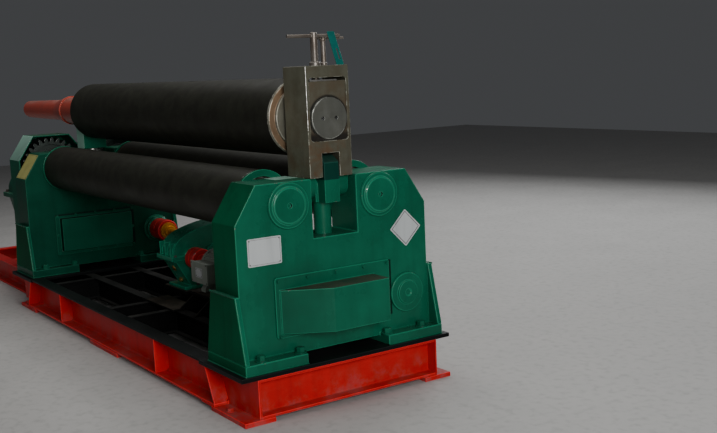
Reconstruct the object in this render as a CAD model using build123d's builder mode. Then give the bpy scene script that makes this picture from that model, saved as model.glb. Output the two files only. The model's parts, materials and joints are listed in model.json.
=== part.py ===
from build123d import *
import math
import os

os.makedirs("parts", exist_ok=True)

# Clearances
FIT = 0.3
SLIDE = 6.0
ROLL_GAP = 25.5

# Roll set: origin on the floor under the middle of the rolls, +X toward the tilting end,
# +Y toward the rear roll, +Z up
SPAN = 500.0
ROLL_HALF = 1382.0
LOW_Z = 944.0
LOW_R = 147.0
UP_Z = 1320.0
UP_R = 187.0
NECK_R = 80.0
UP_NECK_R = 72.0
JOURNAL_R = 64.0
COLLAR_R = 150.0
LOW_COLLAR_R = 110.0
ROLL_CHAMFER = 7.0

# Side frames
FRAME_D = 225.0
FRAME_IN = ROLL_HALF + ROLL_GAP
FRAME_OUT = FRAME_IN + FRAME_D
FRAME_X = (FRAME_IN + FRAME_OUT) / 2
FRAME_Y = SPAN / 2 + 275.0
HORN_Y = SPAN / 2 + 163.0
SHOULDER_Z = 880.0
FRAME_TOP = 1052.0
NOTCH_Y = 122.0
NOTCH_Z = 778.0
GUSSET_T = 25.0
GUSSET_Z = 567.0
GUSSET_X = FRAME_D / 2 + 7.5
FOOT_X = FRAME_D / 2 + 74.0
FOOT_Y0 = FRAME_Y - 299.0
FOOT_Y1 = FRAME_Y + GUSSET_T
FOOT_T = 48.0
FOOT_BOLT_R = 13.0
FOOT_BOLT_X = FOOT_X - 38.5
FOOT_BOLT_INSET = 19.0
FOOT_BOLT_PITCH = 205.0

# Base
PAD_T = 22.0
BEAM_H = 200.0
BEAM_W = 84.0
FLANGE_T = 12.0
WEB_T = 9.0
ROOT_R = 9.0
DECK_T = 20.0
BEAM_Z0 = PAD_T
DECK_Z = BEAM_Z0 + BEAM_H
END_Z1 = DECK_Z - DECK_T
BEAM_OUT = FRAME_Y + 50.0
BEAM_IN = BEAM_OUT - BEAM_W
BASE_HALF = FRAME_X + 200.0
END_W = 70.0
DECK_IN = FRAME_X - 230.0
FLANGE_END = FRAME_X - 100.0
KNEE_LEAN = 80.0
PLATE_T = 12.0
INNER_H = 140.0
INNER_W = 64.0
CROSS_W = 50.0
INNER_FLANGE = 10.0
INNER_WEB = 8.0
INNER_Z0 = END_Z1 - INNER_H
FRONT_RAIL_Y = -170.0
REAR_RAIL_Y = 160.0
CROSS_X = (-1130.0, -155.0, 140.0, 1130.0)
STIFFENER_X = 735.0
PAD_IN = BEAM_IN - 69.0
ANCHOR_X = FRAME_X
ANCHOR_Y = BEAM_OUT - 30.0
ANCHOR_R = 10.0

FOOT_Z = DECK_Z + FOOT_T
ARCH_Z = DECK_Z + 34.0

# Screw-down gear
SCREW_R = 42.0
SCREW_BORE_R = SCREW_R + FIT
SCREW_BORE_Z = 560.0
SCREW_Z0 = 720.0
WORM_Y = 390.0
WORM_Z = 447.0
HUB_R = 97.0
HUB_OUT = 14.0
HUB_IN = 57.0
COVER_Y0 = -346.0
COVER_Y1 = 288.0
COVER_Z0 = 342.0
COVER_Z1 = 625.0
COVER_T = 10.0
VEE_OUT = 142.5
VEE_Y0 = -322.0
VEE_CREASE_Y = -116.0
VEE_Y1 = 195.0
VEE_H = 204.0

# Tilting housing
PIVOT_Z = 1005.0
PIVOT_R = 20.0
HOUSE_X = FRAME_X
HOUSE_D = FRAME_D - 25.0
HOUSE_Y = NOTCH_Y - SLIDE
HOUSE_TOP = 1560.0
CHEEK_TOP = PIVOT_Z + 44.0
CHEEK_Y0 = 60.0
CHEEK_R = 58.0
LUG_R = 38.0
LUG_Y = CHEEK_Y0 - 5.5
LUG_Z0 = 930.0
SLOT_Y = 46.5
SLOT_Z = 1160.0
TONGUE_Y = SLOT_Y - SLIDE
TONGUE_R = SLOT_Z - PIVOT_Z - SLIDE
WIN_Y = HOUSE_Y - 16.0
WIN_Z0 = 1217.0
WIN_Z1 = 1505.0
BLOCK_D = HOUSE_D - 10.0
BLOCK_Z1 = WIN_Z1 - 16.0
CAP_R = WIN_Y - 3.0
CAP_GAP = 1.0
CAP_HOLE_Y = 36.0
CAP_HOLE_R = 8.0
CAP_SEAT = 14.0
CAP_T = 25.0
JOURNAL_HALF = 50.0
BUSH_HALF = 6.0
TEE_R = 17.0
TEE_UP = 152.0
TEE_TOP = HOUSE_TOP + TEE_UP
TEE_BAR_DROP = 16.0
TEE_BAR_Z = TEE_TOP - TEE_BAR_DROP
TEE_BAR_R = 8.0
TEE_BAR_HALF = 142.0
SMALL_TEE_X = HOUSE_X - 40.0
SMALL_TEE_Y = 75.0
STAY_LEAN = 25.0
STAY_T = 5.0
STAY_Y = 91.0
STAY_W = 38.0
STAY_OVER = 15.0
STAY_UNDER = 39.0
STAY_LENGTH = STAY_OVER + TEE_BAR_Z - HOUSE_TOP + STAY_UNDER

# Drive end
FAR_BLOCK_X0 = -(FRAME_OUT - 42.5)
FAR_BLOCK_X1 = -(FRAME_IN + 42.5)
FAR_BLOCK_Y = 80.0
FAR_BLOCK_R = 95.0
FAR_BLOCK_Z0 = 1060.0
CASE_X1 = -FRAME_OUT
CASE_X0 = CASE_X1 - 227.5
CASE_HALF = SPAN / 2 + 240.0
CASE_TOP = 1164.0
CASE_Z0 = 290.0
CASE_T = 8.0
GEAR_X0 = CASE_X0 + 30.0
GEAR_X1 = CASE_X1 - 32.5
MODULE = 14.0
GEAR_TEETH = 27
PINION_TEETH = 21
GEAR_PITCH_R = MODULE * GEAR_TEETH / 2
PINION_PITCH_R = MODULE * PINION_TEETH / 2
MESH_GAP = 0.4
MESH_R = GEAR_PITCH_R + PINION_PITCH_R + MESH_GAP
PINION_Z = LOW_Z - math.sqrt(MESH_R ** 2 - (SPAN / 2) ** 2)
PINION_SHAFT_R = 45.0
GEAR_HUB_R = 118.0
GEAR_RIM = 18.0
GEAR_RECESS = 35.0
TAIL_R = 76.0
TAIL_END_R = 66.0
TAIL_HUB_R = 104.0
TAIL_X1 = CASE_X1 - 7.5
TAIL_HUB_X = CASE_X0 - 20.0
TAIL_X0 = TAIL_HUB_X - 200.0
TAIL_END_X = TAIL_X0 - 790.0

# Main drive behind the gear case
RAIL_H = 180.0
STAND_Z = 412.0
STAND_T = 20.0
REDUCER_X1 = CASE_X0 - 40.0
REDUCER_X0 = REDUCER_X1 - 360.0
MOTOR_X1 = REDUCER_X0 - 280.0
MOTOR_Y = 300.0
MOTOR_R = 172.0
DRIVE_BASE_X1 = -BASE_HALF - 3.0
DRIVE_BASE_X0 = MOTOR_X1 - 580.0
RAIL_Y0 = 360.0
RAIL_Y1 = 440.0

# Lift drive between the frames
LIFT_Y = 50.0
LIFT_X0 = -310.0
LIFT_X1 = -70.0
LIFT_CAP_X0 = LIFT_X0 + 5.0
LIFT_CAP_X1 = LIFT_X1 - 5.0
LIFT_STAND_Z = 250.0
LIFT_SHAFT_R = 22.0
LIFT_COUPLING_R = 66.0
LIFT_MOTOR_X0 = LIFT_X1 + 270.0
LIFT_MOTOR_R = 92.0
LIFT_MOTOR_L = 430.0
SEAT_Z = 305.0
SEAT_T = 20.0


def block(x0, x1, y0, y1, z0, z1, mode=Mode.ADD):
    with Locations(((x0 + x1) / 2, (y0 + y1) / 2, (z0 + z1) / 2)):
        Box(abs(x1 - x0), abs(y1 - y0), abs(z1 - z0), mode=mode)


def rod_x(x0, x1, y, z, r, mode=Mode.ADD):
    with Locations(Location(((x0 + x1) / 2, y, z), (0, 90, 0))):
        Cylinder(r, abs(x1 - x0), mode=mode)


def rod_y(x, y0, y1, z, r, mode=Mode.ADD):
    with Locations(Location((x, (y0 + y1) / 2, z), (90, 0, 0))):
        Cylinder(r, abs(y1 - y0), mode=mode)


def rod_z(x, y, z0, z1, r, mode=Mode.ADD):
    with Locations((x, y, (z0 + z1) / 2)):
        Cylinder(r, abs(z1 - z0), mode=mode)


def plane_yz(x):
    return Plane(origin=(x, 0, 0), x_dir=(0, 1, 0), z_dir=(1, 0, 0))


def plane_xz(y):
    return Plane(origin=(0, y, 0), x_dir=(1, 0, 0), z_dir=(0, -1, 0))


def outline_x(points, x0, x1, mode=Mode.ADD):
    with BuildSketch(plane_yz(x0)) as outline:
        with BuildLine():
            Polyline(*points, close=True)
        make_face()
    extrude(outline.sketch, amount=x1 - x0, mode=mode)


def outline_y(points, y0, y1, mode=Mode.ADD):
    with BuildSketch(plane_xz(y1)) as outline:
        with BuildLine():
            Polyline(*points, close=True)
        make_face()
    extrude(outline.sketch, amount=y1 - y0, mode=mode)


def turned_x(profile, y, z, mode=Mode.ADD):
    """A body turned about a line along X, from its profile of (x, radius) points."""
    with BuildSketch(Plane(origin=(0, y, z), x_dir=(1, 0, 0), z_dir=(0, -1, 0))) as half:
        with BuildLine():
            Polyline((profile[0][0], 0), *profile, (profile[-1][0], 0), close=True)
        make_face()
    revolve(half.sketch, axis=Axis((0, y, z), (1, 0, 0)), mode=mode)


def turned_z(profile, x, y):
    """A body turned about an upright line, from its profile of (radius, z) points."""
    with BuildSketch(Plane(origin=(x, y, 0), x_dir=(1, 0, 0), z_dir=(0, -1, 0))) as half:
        with BuildLine():
            Polyline((0, profile[0][1]), *profile, (0, profile[-1][1]), close=True)
        make_face()
    revolve(half.sketch, axis=Axis((x, y, 0), (0, 0, 1)))


def channel(plane, web, edge, z0, z1, length):
    """A rolled channel with its web at one side and its flanges toward the edge."""
    side = 1 if edge > web else -1
    root = web + side * WEB_T
    with BuildSketch(plane) as section:
        with Locations(((web + edge) / 2, (z0 + z1) / 2)):
            Rectangle(abs(edge - web), z1 - z0)
        with Locations(((root + edge) / 2, (z0 + z1) / 2)):
            Rectangle(abs(edge - root), z1 - z0 - 2 * FLANGE_T, mode=Mode.SUBTRACT)
        fillet(section.vertices().filter_by_position(Axis.X, root - 0.1, root + 0.1), ROOT_R)
    extrude(section.sketch, amount=length)


def i_beam(plane, centre, width, length):
    """An inner I-beam of the base with its top flush under the deck."""
    with BuildSketch(plane) as section:
        with Locations((centre, INNER_Z0 + INNER_H / 2)):
            Rectangle(INNER_WEB, INNER_H)
        with Locations((centre, INNER_Z0 + INNER_FLANGE / 2), (centre, END_Z1 - INNER_FLANGE / 2)):
            Rectangle(width, INNER_FLANGE)
    extrude(section.sketch, amount=length)


def save(part, name):
    part.label = name
    export_step(part, "parts/" + name + ".step")


def gear_points(teeth, phase):
    alpha = math.radians(20)
    pitch_r = MODULE * teeth / 2
    base_r = pitch_r * math.cos(alpha)
    tip_r = pitch_r + MODULE
    root_r = pitch_r - 1.25 * MODULE
    half = 0.48 * math.pi / teeth
    flank = [root_r, max(base_r, root_r) + 0.25 * MODULE, pitch_r + 0.1 * MODULE, tip_r]
    inv0 = math.tan(alpha) - alpha
    points = []
    for k in range(teeth):
        centre = phase + 2 * math.pi * k / teeth
        sides = []
        for r in flank:
            a = math.acos(min(1.0, base_r / r))
            sides.append((r, half + inv0 - (math.tan(a) - a)))
        for r, h in sides:
            points.append((r * math.cos(centre - h), r * math.sin(centre - h)))
        for r, h in reversed(sides):
            points.append((r * math.cos(centre + h), r * math.sin(centre + h)))
    return points


def mesh_phase(direction):
    """Turns a roll gear so that a gap of it faces a tooth of the pinion along the line of centres."""
    step_p = 2 * math.pi / PINION_TEETH
    step_g = 2 * math.pi / GEAR_TEETH
    tooth = (direction / step_p) % 1.0
    gap = (0.5 - tooth) % 1.0
    return direction + math.pi - gap * step_g


# Long channels of the base: the flanges point outward and stop before the end boxes, where the
# webs go on under the deck plates
with BuildPart() as base_side_beams:
    for side in (-1, 1):
        channel(plane_yz(-BASE_HALF), side * BEAM_IN, side * BEAM_OUT, BEAM_Z0, DECK_Z, 2 * BASE_HALF)
        for end in (-1, 1):
            block(end * DECK_IN, end * (BASE_HALF + 1), side * (BEAM_IN - 1), side * (BEAM_OUT + 1), END_Z1,
                  DECK_Z + 1, mode=Mode.SUBTRACT)
            block(end * FLANGE_END, end * (BASE_HALF + 1), side * (BEAM_IN + WEB_T), side * (BEAM_OUT + 1),
                  BEAM_Z0 - 1, DECK_Z + 1, mode=Mode.SUBTRACT)
save(base_side_beams.part, "base_side_beams")

# End channels between the webs of the long ones, with their flanges outward
with BuildPart() as base_end_beams:
    for end in (-1, 1):
        channel(plane_xz(BEAM_IN), end * (BASE_HALF - END_W), end * BASE_HALF, BEAM_Z0, END_Z1, 2 * BEAM_IN)
save(base_end_beams.part, "base_end_beams")

# Inner I-beams that carry the lift drive
INNER_HALF = BASE_HALF - END_W
with BuildPart() as base_cross_beams:
    for y in (FRONT_RAIL_Y, REAR_RAIL_Y):
        i_beam(plane_yz(-INNER_HALF), y, INNER_W, 2 * INNER_HALF)
    for x in CROSS_X:
        i_beam(plane_xz(BEAM_IN), x, CROSS_W, 2 * BEAM_IN)
save(base_cross_beams.part, "base_cross_beams")

# Stiffeners with coped corners between the flanges, and leaning knees where the flanges stop
KNEE_X = FLANGE_END - PLATE_T
with BuildPart() as base_stiffeners:
    for side in (-1, 1):
        for end in (-1, 1):
            with BuildSketch(plane_yz(end * STIFFENER_X)) as rib:
                with Locations((side * (BEAM_IN + WEB_T + BEAM_OUT - 1) / 2, (BEAM_Z0 + DECK_Z) / 2)):
                    Rectangle(BEAM_W - WEB_T - 1, BEAM_H - 2 * FLANGE_T)
                root = side * (BEAM_IN + WEB_T)
                chamfer(rib.vertices().filter_by_position(Axis.X, root - 0.1, root + 0.1), 1.5 * ROOT_R)
            extrude(rib.sketch, amount=PLATE_T)
            knee_y = sorted((side * (BEAM_IN + WEB_T), side * (BEAM_OUT - 1)))
            outline_y(
                [(end * KNEE_X, BEAM_Z0 + FLANGE_T), (end * (KNEE_X + PLATE_T), BEAM_Z0 + FLANGE_T),
                 (end * (KNEE_X + PLATE_T - KNEE_LEAN), END_Z1), (end * (KNEE_X - KNEE_LEAN), END_Z1)], *knee_y)
            block(end * (KNEE_X - KNEE_LEAN), end * FLANGE_END, root, root + side * ROOT_R, BEAM_Z0 + FLANGE_T,
                  BEAM_Z0 + FLANGE_T + ROOT_R, mode=Mode.SUBTRACT)
save(base_stiffeners.part, "base_stiffeners")

# Foot pads under the ends and the middle, with the anchor holes
PAD_NEAR = (FLANGE_END - 30.0, BASE_HALF + 6.0)
PAD_MIDDLE = (-215.0, 215.0)
PAD_FAR = (-FRAME_X - 53.0, -FRAME_X + 267.0)
with BuildPart() as base_foot_pads:
    for side in (-1, 1):
        for x0, x1 in (PAD_NEAR, PAD_MIDDLE, PAD_FAR):
            block(x0, x1, side * PAD_IN, side * (BEAM_OUT + 3), 0, PAD_T)
        for end in (-1, 1):
            rod_z(end * ANCHOR_X, side * ANCHOR_Y, 0, PAD_T, ANCHOR_R, mode=Mode.SUBTRACT)
save(base_foot_pads.part, "base_foot_pads")

# Deck plates under the side frames
with BuildPart() as base_deck_plate:
    for end in (-1, 1):
        with BuildSketch(Plane.XY.offset(END_Z1)) as deck:
            with Locations((end * (DECK_IN + BASE_HALF + 3) / 2, 0)):
                RectangleRounded(BASE_HALF + 3 - DECK_IN, 2 * BEAM_OUT + 12, 4)
        extrude(deck.sketch, amount=DECK_T)
save(base_deck_plate.part, "base_deck_plate")


def side_frame(sign):
    x0 = min(sign * FRAME_IN, sign * FRAME_OUT)
    x1 = max(sign * FRAME_IN, sign * FRAME_OUT)
    with BuildSketch(plane_yz(x0)) as face:
        with BuildLine():
            Polyline(
                (-FRAME_Y, ARCH_Z), (-FRAME_Y, SHOULDER_Z), (-HORN_Y, FRAME_TOP), (-NOTCH_Y, FRAME_TOP),
                (-NOTCH_Y, NOTCH_Z), (NOTCH_Y, NOTCH_Z), (NOTCH_Y, FRAME_TOP), (HORN_Y, FRAME_TOP),
                (FRAME_Y, SHOULDER_Z), (FRAME_Y, ARCH_Z), close=True)
        make_face()
        fillet(face.vertices().filter_by_position(Axis.Y, SHOULDER_Z - 1, FRAME_TOP + 1), 8)
    extrude(face.sketch, amount=x1 - x0)
    for y in (-1, 1):
        block(sign * (FRAME_X - FOOT_X), sign * (FRAME_X + FOOT_X), y * FOOT_Y0, y * FOOT_Y1, DECK_Z, FOOT_Z)
        rod_x(x0, x1, y * SPAN / 2, LOW_Z, NECK_R + FIT, mode=Mode.SUBTRACT)
        for x in (-1, 1):
            for k in (0, 1):
                hole_y = FOOT_Y0 + FOOT_BOLT_INSET + k * FOOT_BOLT_PITCH
                rod_z(sign * FRAME_X + x * FOOT_BOLT_X, y * hole_y, DECK_Z, FOOT_Z, FOOT_BOLT_R,
                      mode=Mode.SUBTRACT)
    rod_z(sign * FRAME_X, 0, SCREW_BORE_Z, NOTCH_Z + 1, SCREW_BORE_R, mode=Mode.SUBTRACT)


# Side frame at the tilting end
with BuildPart() as near_frame:
    side_frame(1)
save(near_frame.part, "near_frame")

# Side frame at the drive end, with the seat of the pinion shaft
PINION_SEAT = 45.0
with BuildPart() as far_frame:
    side_frame(-1)
    rod_x(-FRAME_OUT, -FRAME_OUT + PINION_SEAT, 0, PINION_Z, PINION_SHAFT_R + FIT, mode=Mode.SUBTRACT)
save(far_frame.part, "far_frame")

# Tapered gussets on the flanks of both frames
with BuildPart() as frame_side_gussets:
    for sign in (-1, 1):
        for side in (-1, 1):
            gusset_y = sorted((side * FRAME_Y, side * (FRAME_Y + GUSSET_T)))
            outline_y(
                [(sign * FRAME_X - GUSSET_X, GUSSET_Z), (sign * FRAME_X + GUSSET_X, GUSSET_Z),
                 (sign * FRAME_X + FOOT_X, FOOT_Z), (sign * FRAME_X - FOOT_X, FOOT_Z)], *gusset_y)
save(frame_side_gussets.part, "frame_side_gussets")

# Worm gear cover on the outer face of the near frame: a rounded plate with a V-shaped hood
COVER_MID = ((COVER_Y0 + COVER_Y1) / 2, (COVER_Z0 + COVER_Z1) / 2)
with BuildPart() as near_worm_cover:
    with BuildSketch(plane_yz(FRAME_OUT)) as plate:
        with Locations(COVER_MID):
            RectangleRounded(COVER_Y1 - COVER_Y0, COVER_Z1 - COVER_Z0, 14)
    extrude(plate.sketch, amount=COVER_T)
    with BuildSketch(Plane.XY.offset(COVER_MID[1] - VEE_H / 2 - 19)) as hood:
        with BuildLine():
            Polyline(
                (FRAME_OUT + COVER_T, VEE_Y0), (FRAME_OUT + COVER_T + 4, VEE_Y0),
                (FRAME_OUT + VEE_OUT, VEE_CREASE_Y), (FRAME_OUT + VEE_OUT, VEE_Y1),
                (FRAME_OUT + COVER_T, VEE_Y1), close=True)
        make_face()
        fillet(hood.vertices().filter_by_position(Axis.X, FRAME_OUT + VEE_OUT - 1, FRAME_OUT + VEE_OUT + 1), 10)
    extrude(hood.sketch, amount=VEE_H)
save(near_worm_cover.part, "near_worm_cover")

# Worm gear cover on the inner face of the drive-end frame: a plate with a raised flat box
with BuildPart() as far_worm_cover:
    with BuildSketch(plane_yz(-FRAME_IN)) as plate:
        with Locations((COVER_MID[0] - 31, COVER_MID[1])):
            RectangleRounded(COVER_Y1 - COVER_Y0 - 63, COVER_Z1 - COVER_Z0, 14)
    extrude(plate.sketch, amount=COVER_T)
    with BuildSketch(plane_yz(-FRAME_IN + COVER_T)) as lid:
        with Locations((COVER_MID[0] - 31, COVER_MID[1])):
            RectangleRounded(COVER_Y1 - COVER_Y0 - 124, COVER_Z1 - COVER_Z0 - 53, 10)
    extrude(lid.sketch, amount=38, taper=6)
save(far_worm_cover.part, "far_worm_cover")

# Worm shaft hubs: a shallow stepped one outside, a deep one on each inner face
with BuildPart() as worm_hubs:
    turned_x(
        [(FRAME_OUT, HUB_R), (FRAME_OUT + HUB_OUT - 3, HUB_R), (FRAME_OUT + HUB_OUT, HUB_R - 3),
         (FRAME_OUT + HUB_OUT, 60), (FRAME_OUT + HUB_OUT + 9, 57), (FRAME_OUT + HUB_OUT + 9, 18),
         (FRAME_OUT + HUB_OUT + 4, 16)], WORM_Y, WORM_Z)
    for sign in (-1, 1):
        turned_x(
            [(sign * FRAME_IN, HUB_R), (sign * (FRAME_IN - 20), HUB_R), (sign * (FRAME_IN - 24), HUB_R - 10),
             (sign * (FRAME_IN - HUB_IN + 5), HUB_R - 14), (sign * (FRAME_IN - HUB_IN), HUB_R - 19)],
            WORM_Y, WORM_Z)
save(worm_hubs.part, "worm_hubs")

# Stepped round covers of the lower roll bearings, with a centre hole
with BuildPart() as near_bearing_covers:
    for side in (-1, 1):
        turned_x(
            [(FRAME_OUT, 107), (FRAME_OUT + 8, 107), (FRAME_OUT + 11, 104), (FRAME_OUT + 11, 86),
             (FRAME_OUT + 16, 84), (FRAME_OUT + 19, 80), (FRAME_OUT + 19, 11), (FRAME_OUT + 9, 11)],
            side * SPAN / 2, LOW_Z)
save(near_bearing_covers.part, "near_bearing_covers")

# Flanged rings round the lower necks on the inner faces
RING_T = ROLL_GAP - 7.5
with BuildPart() as inboard_bearing_rings:
    for sign in (-1, 1):
        for side in (-1, 1):
            with BuildSketch(plane_yz(sign * FRAME_IN)) as ring:
                with Locations((side * SPAN / 2, LOW_Z)):
                    Circle(LOW_R + 3)
                    Circle(LOW_COLLAR_R + 8, mode=Mode.SUBTRACT)
            extrude(ring.sketch, amount=-sign * RING_T)
save(inboard_bearing_rings.part, "inboard_bearing_rings")

# Gear case behind the drive-end frame, open toward the frame, with a dip for the upper roll
CASE_OUT = [
    (-CASE_HALF, CASE_Z0), (-CASE_HALF, 1000), (-CASE_HALF + 110, CASE_TOP), (-120, CASE_TOP), (-60, 1085),
    (60, 1085), (120, CASE_TOP), (CASE_HALF - 110, CASE_TOP), (CASE_HALF, 1000), (CASE_HALF, CASE_Z0)]
with BuildPart() as gear_case:
    outline_x(CASE_OUT, CASE_X0, CASE_X1)
    with BuildSketch(plane_yz(CASE_X0 + CASE_T)) as inside:
        with BuildLine():
            Polyline(*CASE_OUT, close=True)
        make_face()
        offset(amount=-CASE_T, kind=Kind.INTERSECTION, mode=Mode.REPLACE)
    extrude(inside.sketch, amount=CASE_X1 - CASE_X0 - CASE_T, mode=Mode.SUBTRACT)
    rod_x(CASE_X0, CASE_X0 + CASE_T, 0, PINION_Z, PINION_SHAFT_R + SLIDE, mode=Mode.SUBTRACT)
    for side in (-1, 1):
        turned_x(
            [(CASE_X0, 110), (CASE_X0 - 8, 110), (CASE_X0 - 8, 92), (CASE_X0 - 18, 88)], side * SPAN / 2, LOW_Z)
save(gear_case.part, "gear_case")

# Drive base behind the main base
with BuildPart() as drive_base:
    for side in (-1, 1):
        channel(plane_yz(DRIVE_BASE_X0), side * RAIL_Y0, side * RAIL_Y1, 0, RAIL_H, DRIVE_BASE_X1 - DRIVE_BASE_X0)
    for x in (DRIVE_BASE_X0, MOTOR_X1 + 40.0, REDUCER_X1 - 100.0):
        block(x, x + PLATE_T, -RAIL_Y0, RAIL_Y0, 10, RAIL_H)
        block(x, x + 70, -RAIL_Y0, RAIL_Y0, RAIL_H - FLANGE_T, RAIL_H)
save(drive_base.part, "drive_base")


def plate_stand(x0, x1, y0, y1, webs):
    """A welded stand: sole plate, top plate and upright plates between them."""
    block(x0, x1, y0, y1, RAIL_H, RAIL_H + STAND_T)
    block(x0, x1, y0, y1, STAND_Z - STAND_T, STAND_Z)
    for y in webs:
        block(x0 + 10, x1 - 10, y, y + 14, RAIL_H + STAND_T, STAND_Z - STAND_T)


# Stands of the main reducer and of the main motor
with BuildPart() as reducer_stand:
    plate_stand(REDUCER_X0, REDUCER_X1, -380, 420, (-370.0, -130.0, 120.0, 395.0))
save(reducer_stand.part, "reducer_stand")
with BuildPart() as motor_stand:
    plate_stand(MOTOR_X1 - 520, MOTOR_X1 + 60, MOTOR_Y - 210, MOTOR_Y + 120, (MOTOR_Y - 200, MOTOR_Y + 95))
save(motor_stand.part, "motor_stand")


def gear_unit(plane, half_width, sole, z_sole, arc, low_in):
    """The casing of a gear unit with a curved top.

    sole is the (y0, y1) span of its foot, arc the points of the casing's top.
    """
    with BuildSketch(plane) as casing:
        with BuildLine():
            Polyline(arc[0], (sole[0] + low_in, z_sole), (sole[1] - low_in, z_sole), arc[-1])
            Spline(*arc[1:-1], tangents=((0.3, 1), (0.3, -1)))
            Line(arc[0], arc[1])
            Line(arc[-2], arc[-1])
        make_face()
    extrude(casing.sketch, amount=half_width, both=True)


# Main reducer
MAIN_MID = plane_yz((REDUCER_X0 + REDUCER_X1) / 2)
MAIN_HALF = (REDUCER_X1 - REDUCER_X0) / 2
MAIN_TOP = [
    (-420, PINION_Z), (-415, PINION_Z + 60), (-300, PINION_Z + 190), (-60, PINION_Z + 228), (200, PINION_Z + 185),
    (400, PINION_Z + 60), (430, PINION_Z)]
with BuildPart() as main_reducer:
    gear_unit(MAIN_MID, MAIN_HALF - 40, (-380, 420), STAND_Z, MAIN_TOP, 30)
    block(REDUCER_X0, REDUCER_X1, -380, 420, STAND_Z, STAND_Z + 25)
    block(REDUCER_X0 + 10, REDUCER_X1 - 10, -450, 460, PINION_Z - 16, PINION_Z + 16)
    for y, r in ((0, 95), (MOTOR_Y, 66), (-240, 80)):
        turned_x(
            [(REDUCER_X0 + 28, r), (REDUCER_X0 + 32, r + 4), (REDUCER_X1 - 32, r + 4), (REDUCER_X1 - 28, r)],
            y, PINION_Z)
    for y in (-330.0, -150.0, 150.0, 380.0):
        block(REDUCER_X0 + 20, REDUCER_X1 - 20, y, y + 12, STAND_Z + 25, PINION_Z - 16)
    for y in (-200.0, 130.0):
        with BuildSketch(plane_xz(y)) as lug:
            with Locations(((REDUCER_X0 + REDUCER_X1) / 2, PINION_Z + 235)):
                Circle(34)
                Circle(15, mode=Mode.SUBTRACT)
            with Locations(((REDUCER_X0 + REDUCER_X1) / 2, PINION_Z + 190)):
                Rectangle(68, 50)
        extrude(lug.sketch, amount=16)
    rod_x(REDUCER_X0 - 60, REDUCER_X0 + 30, MOTOR_Y, PINION_Z, 25)
    rod_x(REDUCER_X1 - 50, REDUCER_X1 + 1, 0, PINION_Z, PINION_SHAFT_R + FIT, mode=Mode.SUBTRACT)
save(main_reducer.part, "main_reducer")

# Brake drum coupling of the main drive
with BuildPart() as main_coupling:
    turned_x(
        [(REDUCER_X0 - 60, 60), (REDUCER_X0 - 70, 60), (REDUCER_X0 - 70, 122), (REDUCER_X0 - 74, 126),
         (REDUCER_X0 - 150, 126), (REDUCER_X0 - 154, 122), (REDUCER_X0 - 154, 70), (REDUCER_X0 - 215, 70)],
        MOTOR_Y, PINION_Z)
save(main_coupling.part, "main_coupling")


def finned_motor(x0, length, y, z, r, fins, toward):
    """A foot motor: end shield, ribbed barrel and fan cover, running from x0 along toward * X."""
    turned_x(
        [(x0, 0.45 * r), (x0 + toward * 0.08 * length, r), (x0 + toward * 0.12 * length, r)], y, z)
    barrel_x = x0 + toward * 0.12 * length
    with BuildSketch(Plane(origin=(barrel_x, y, z), x_dir=(0, 1, 0), z_dir=(toward, 0, 0))) as barrel:
        Circle(0.9 * r)
        with PolarLocations(0.93 * r, fins, start_angle=180 / fins):
            Rectangle(0.14 * r, 0.045 * r)
    extrude(barrel.sketch, amount=0.62 * length)
    cover_x = barrel_x + toward * 0.62 * length
    turned_x(
        [(cover_x, 1.03 * r), (cover_x + toward * 0.2 * length, 1.03 * r), (cover_x + toward * 0.24 * length, 0.95 * r),
         (cover_x + toward * 0.26 * length, 0.8 * r)], y, z)


def motor_feet(x, y, z, r, spread, seat):
    """One pair of feet under a motor's barrel."""
    outline_x(
        [(y - spread, seat), (y + spread, seat), (y + spread, seat + 16), (y + 0.72 * r, z - 0.5 * r),
         (y - 0.72 * r, z - 0.5 * r), (y - spread, seat + 16)], x - 25, x + 25)


# Main motor
with BuildPart() as main_motor:
    rod_x(REDUCER_X0 - 215, MOTOR_X1, MOTOR_Y, PINION_Z, 30)
    finned_motor(MOTOR_X1, 560.0, MOTOR_Y, PINION_Z, MOTOR_R, 28, -1)
    for x in (MOTOR_X1 - 120.0, MOTOR_X1 - 360.0):
        motor_feet(x, MOTOR_Y, PINION_Z, MOTOR_R, MOTOR_R, STAND_Z)
    block(MOTOR_X1 - 260, MOTOR_X1 - 90, MOTOR_Y - 75, MOTOR_Y + 75, PINION_Z + 120, PINION_Z + 222)
    block(MOTOR_X1 - 268, MOTOR_X1 - 82, MOTOR_Y - 83, MOTOR_Y + 83, PINION_Z + 222, PINION_Z + 234)
save(main_motor.part, "main_motor")

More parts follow.
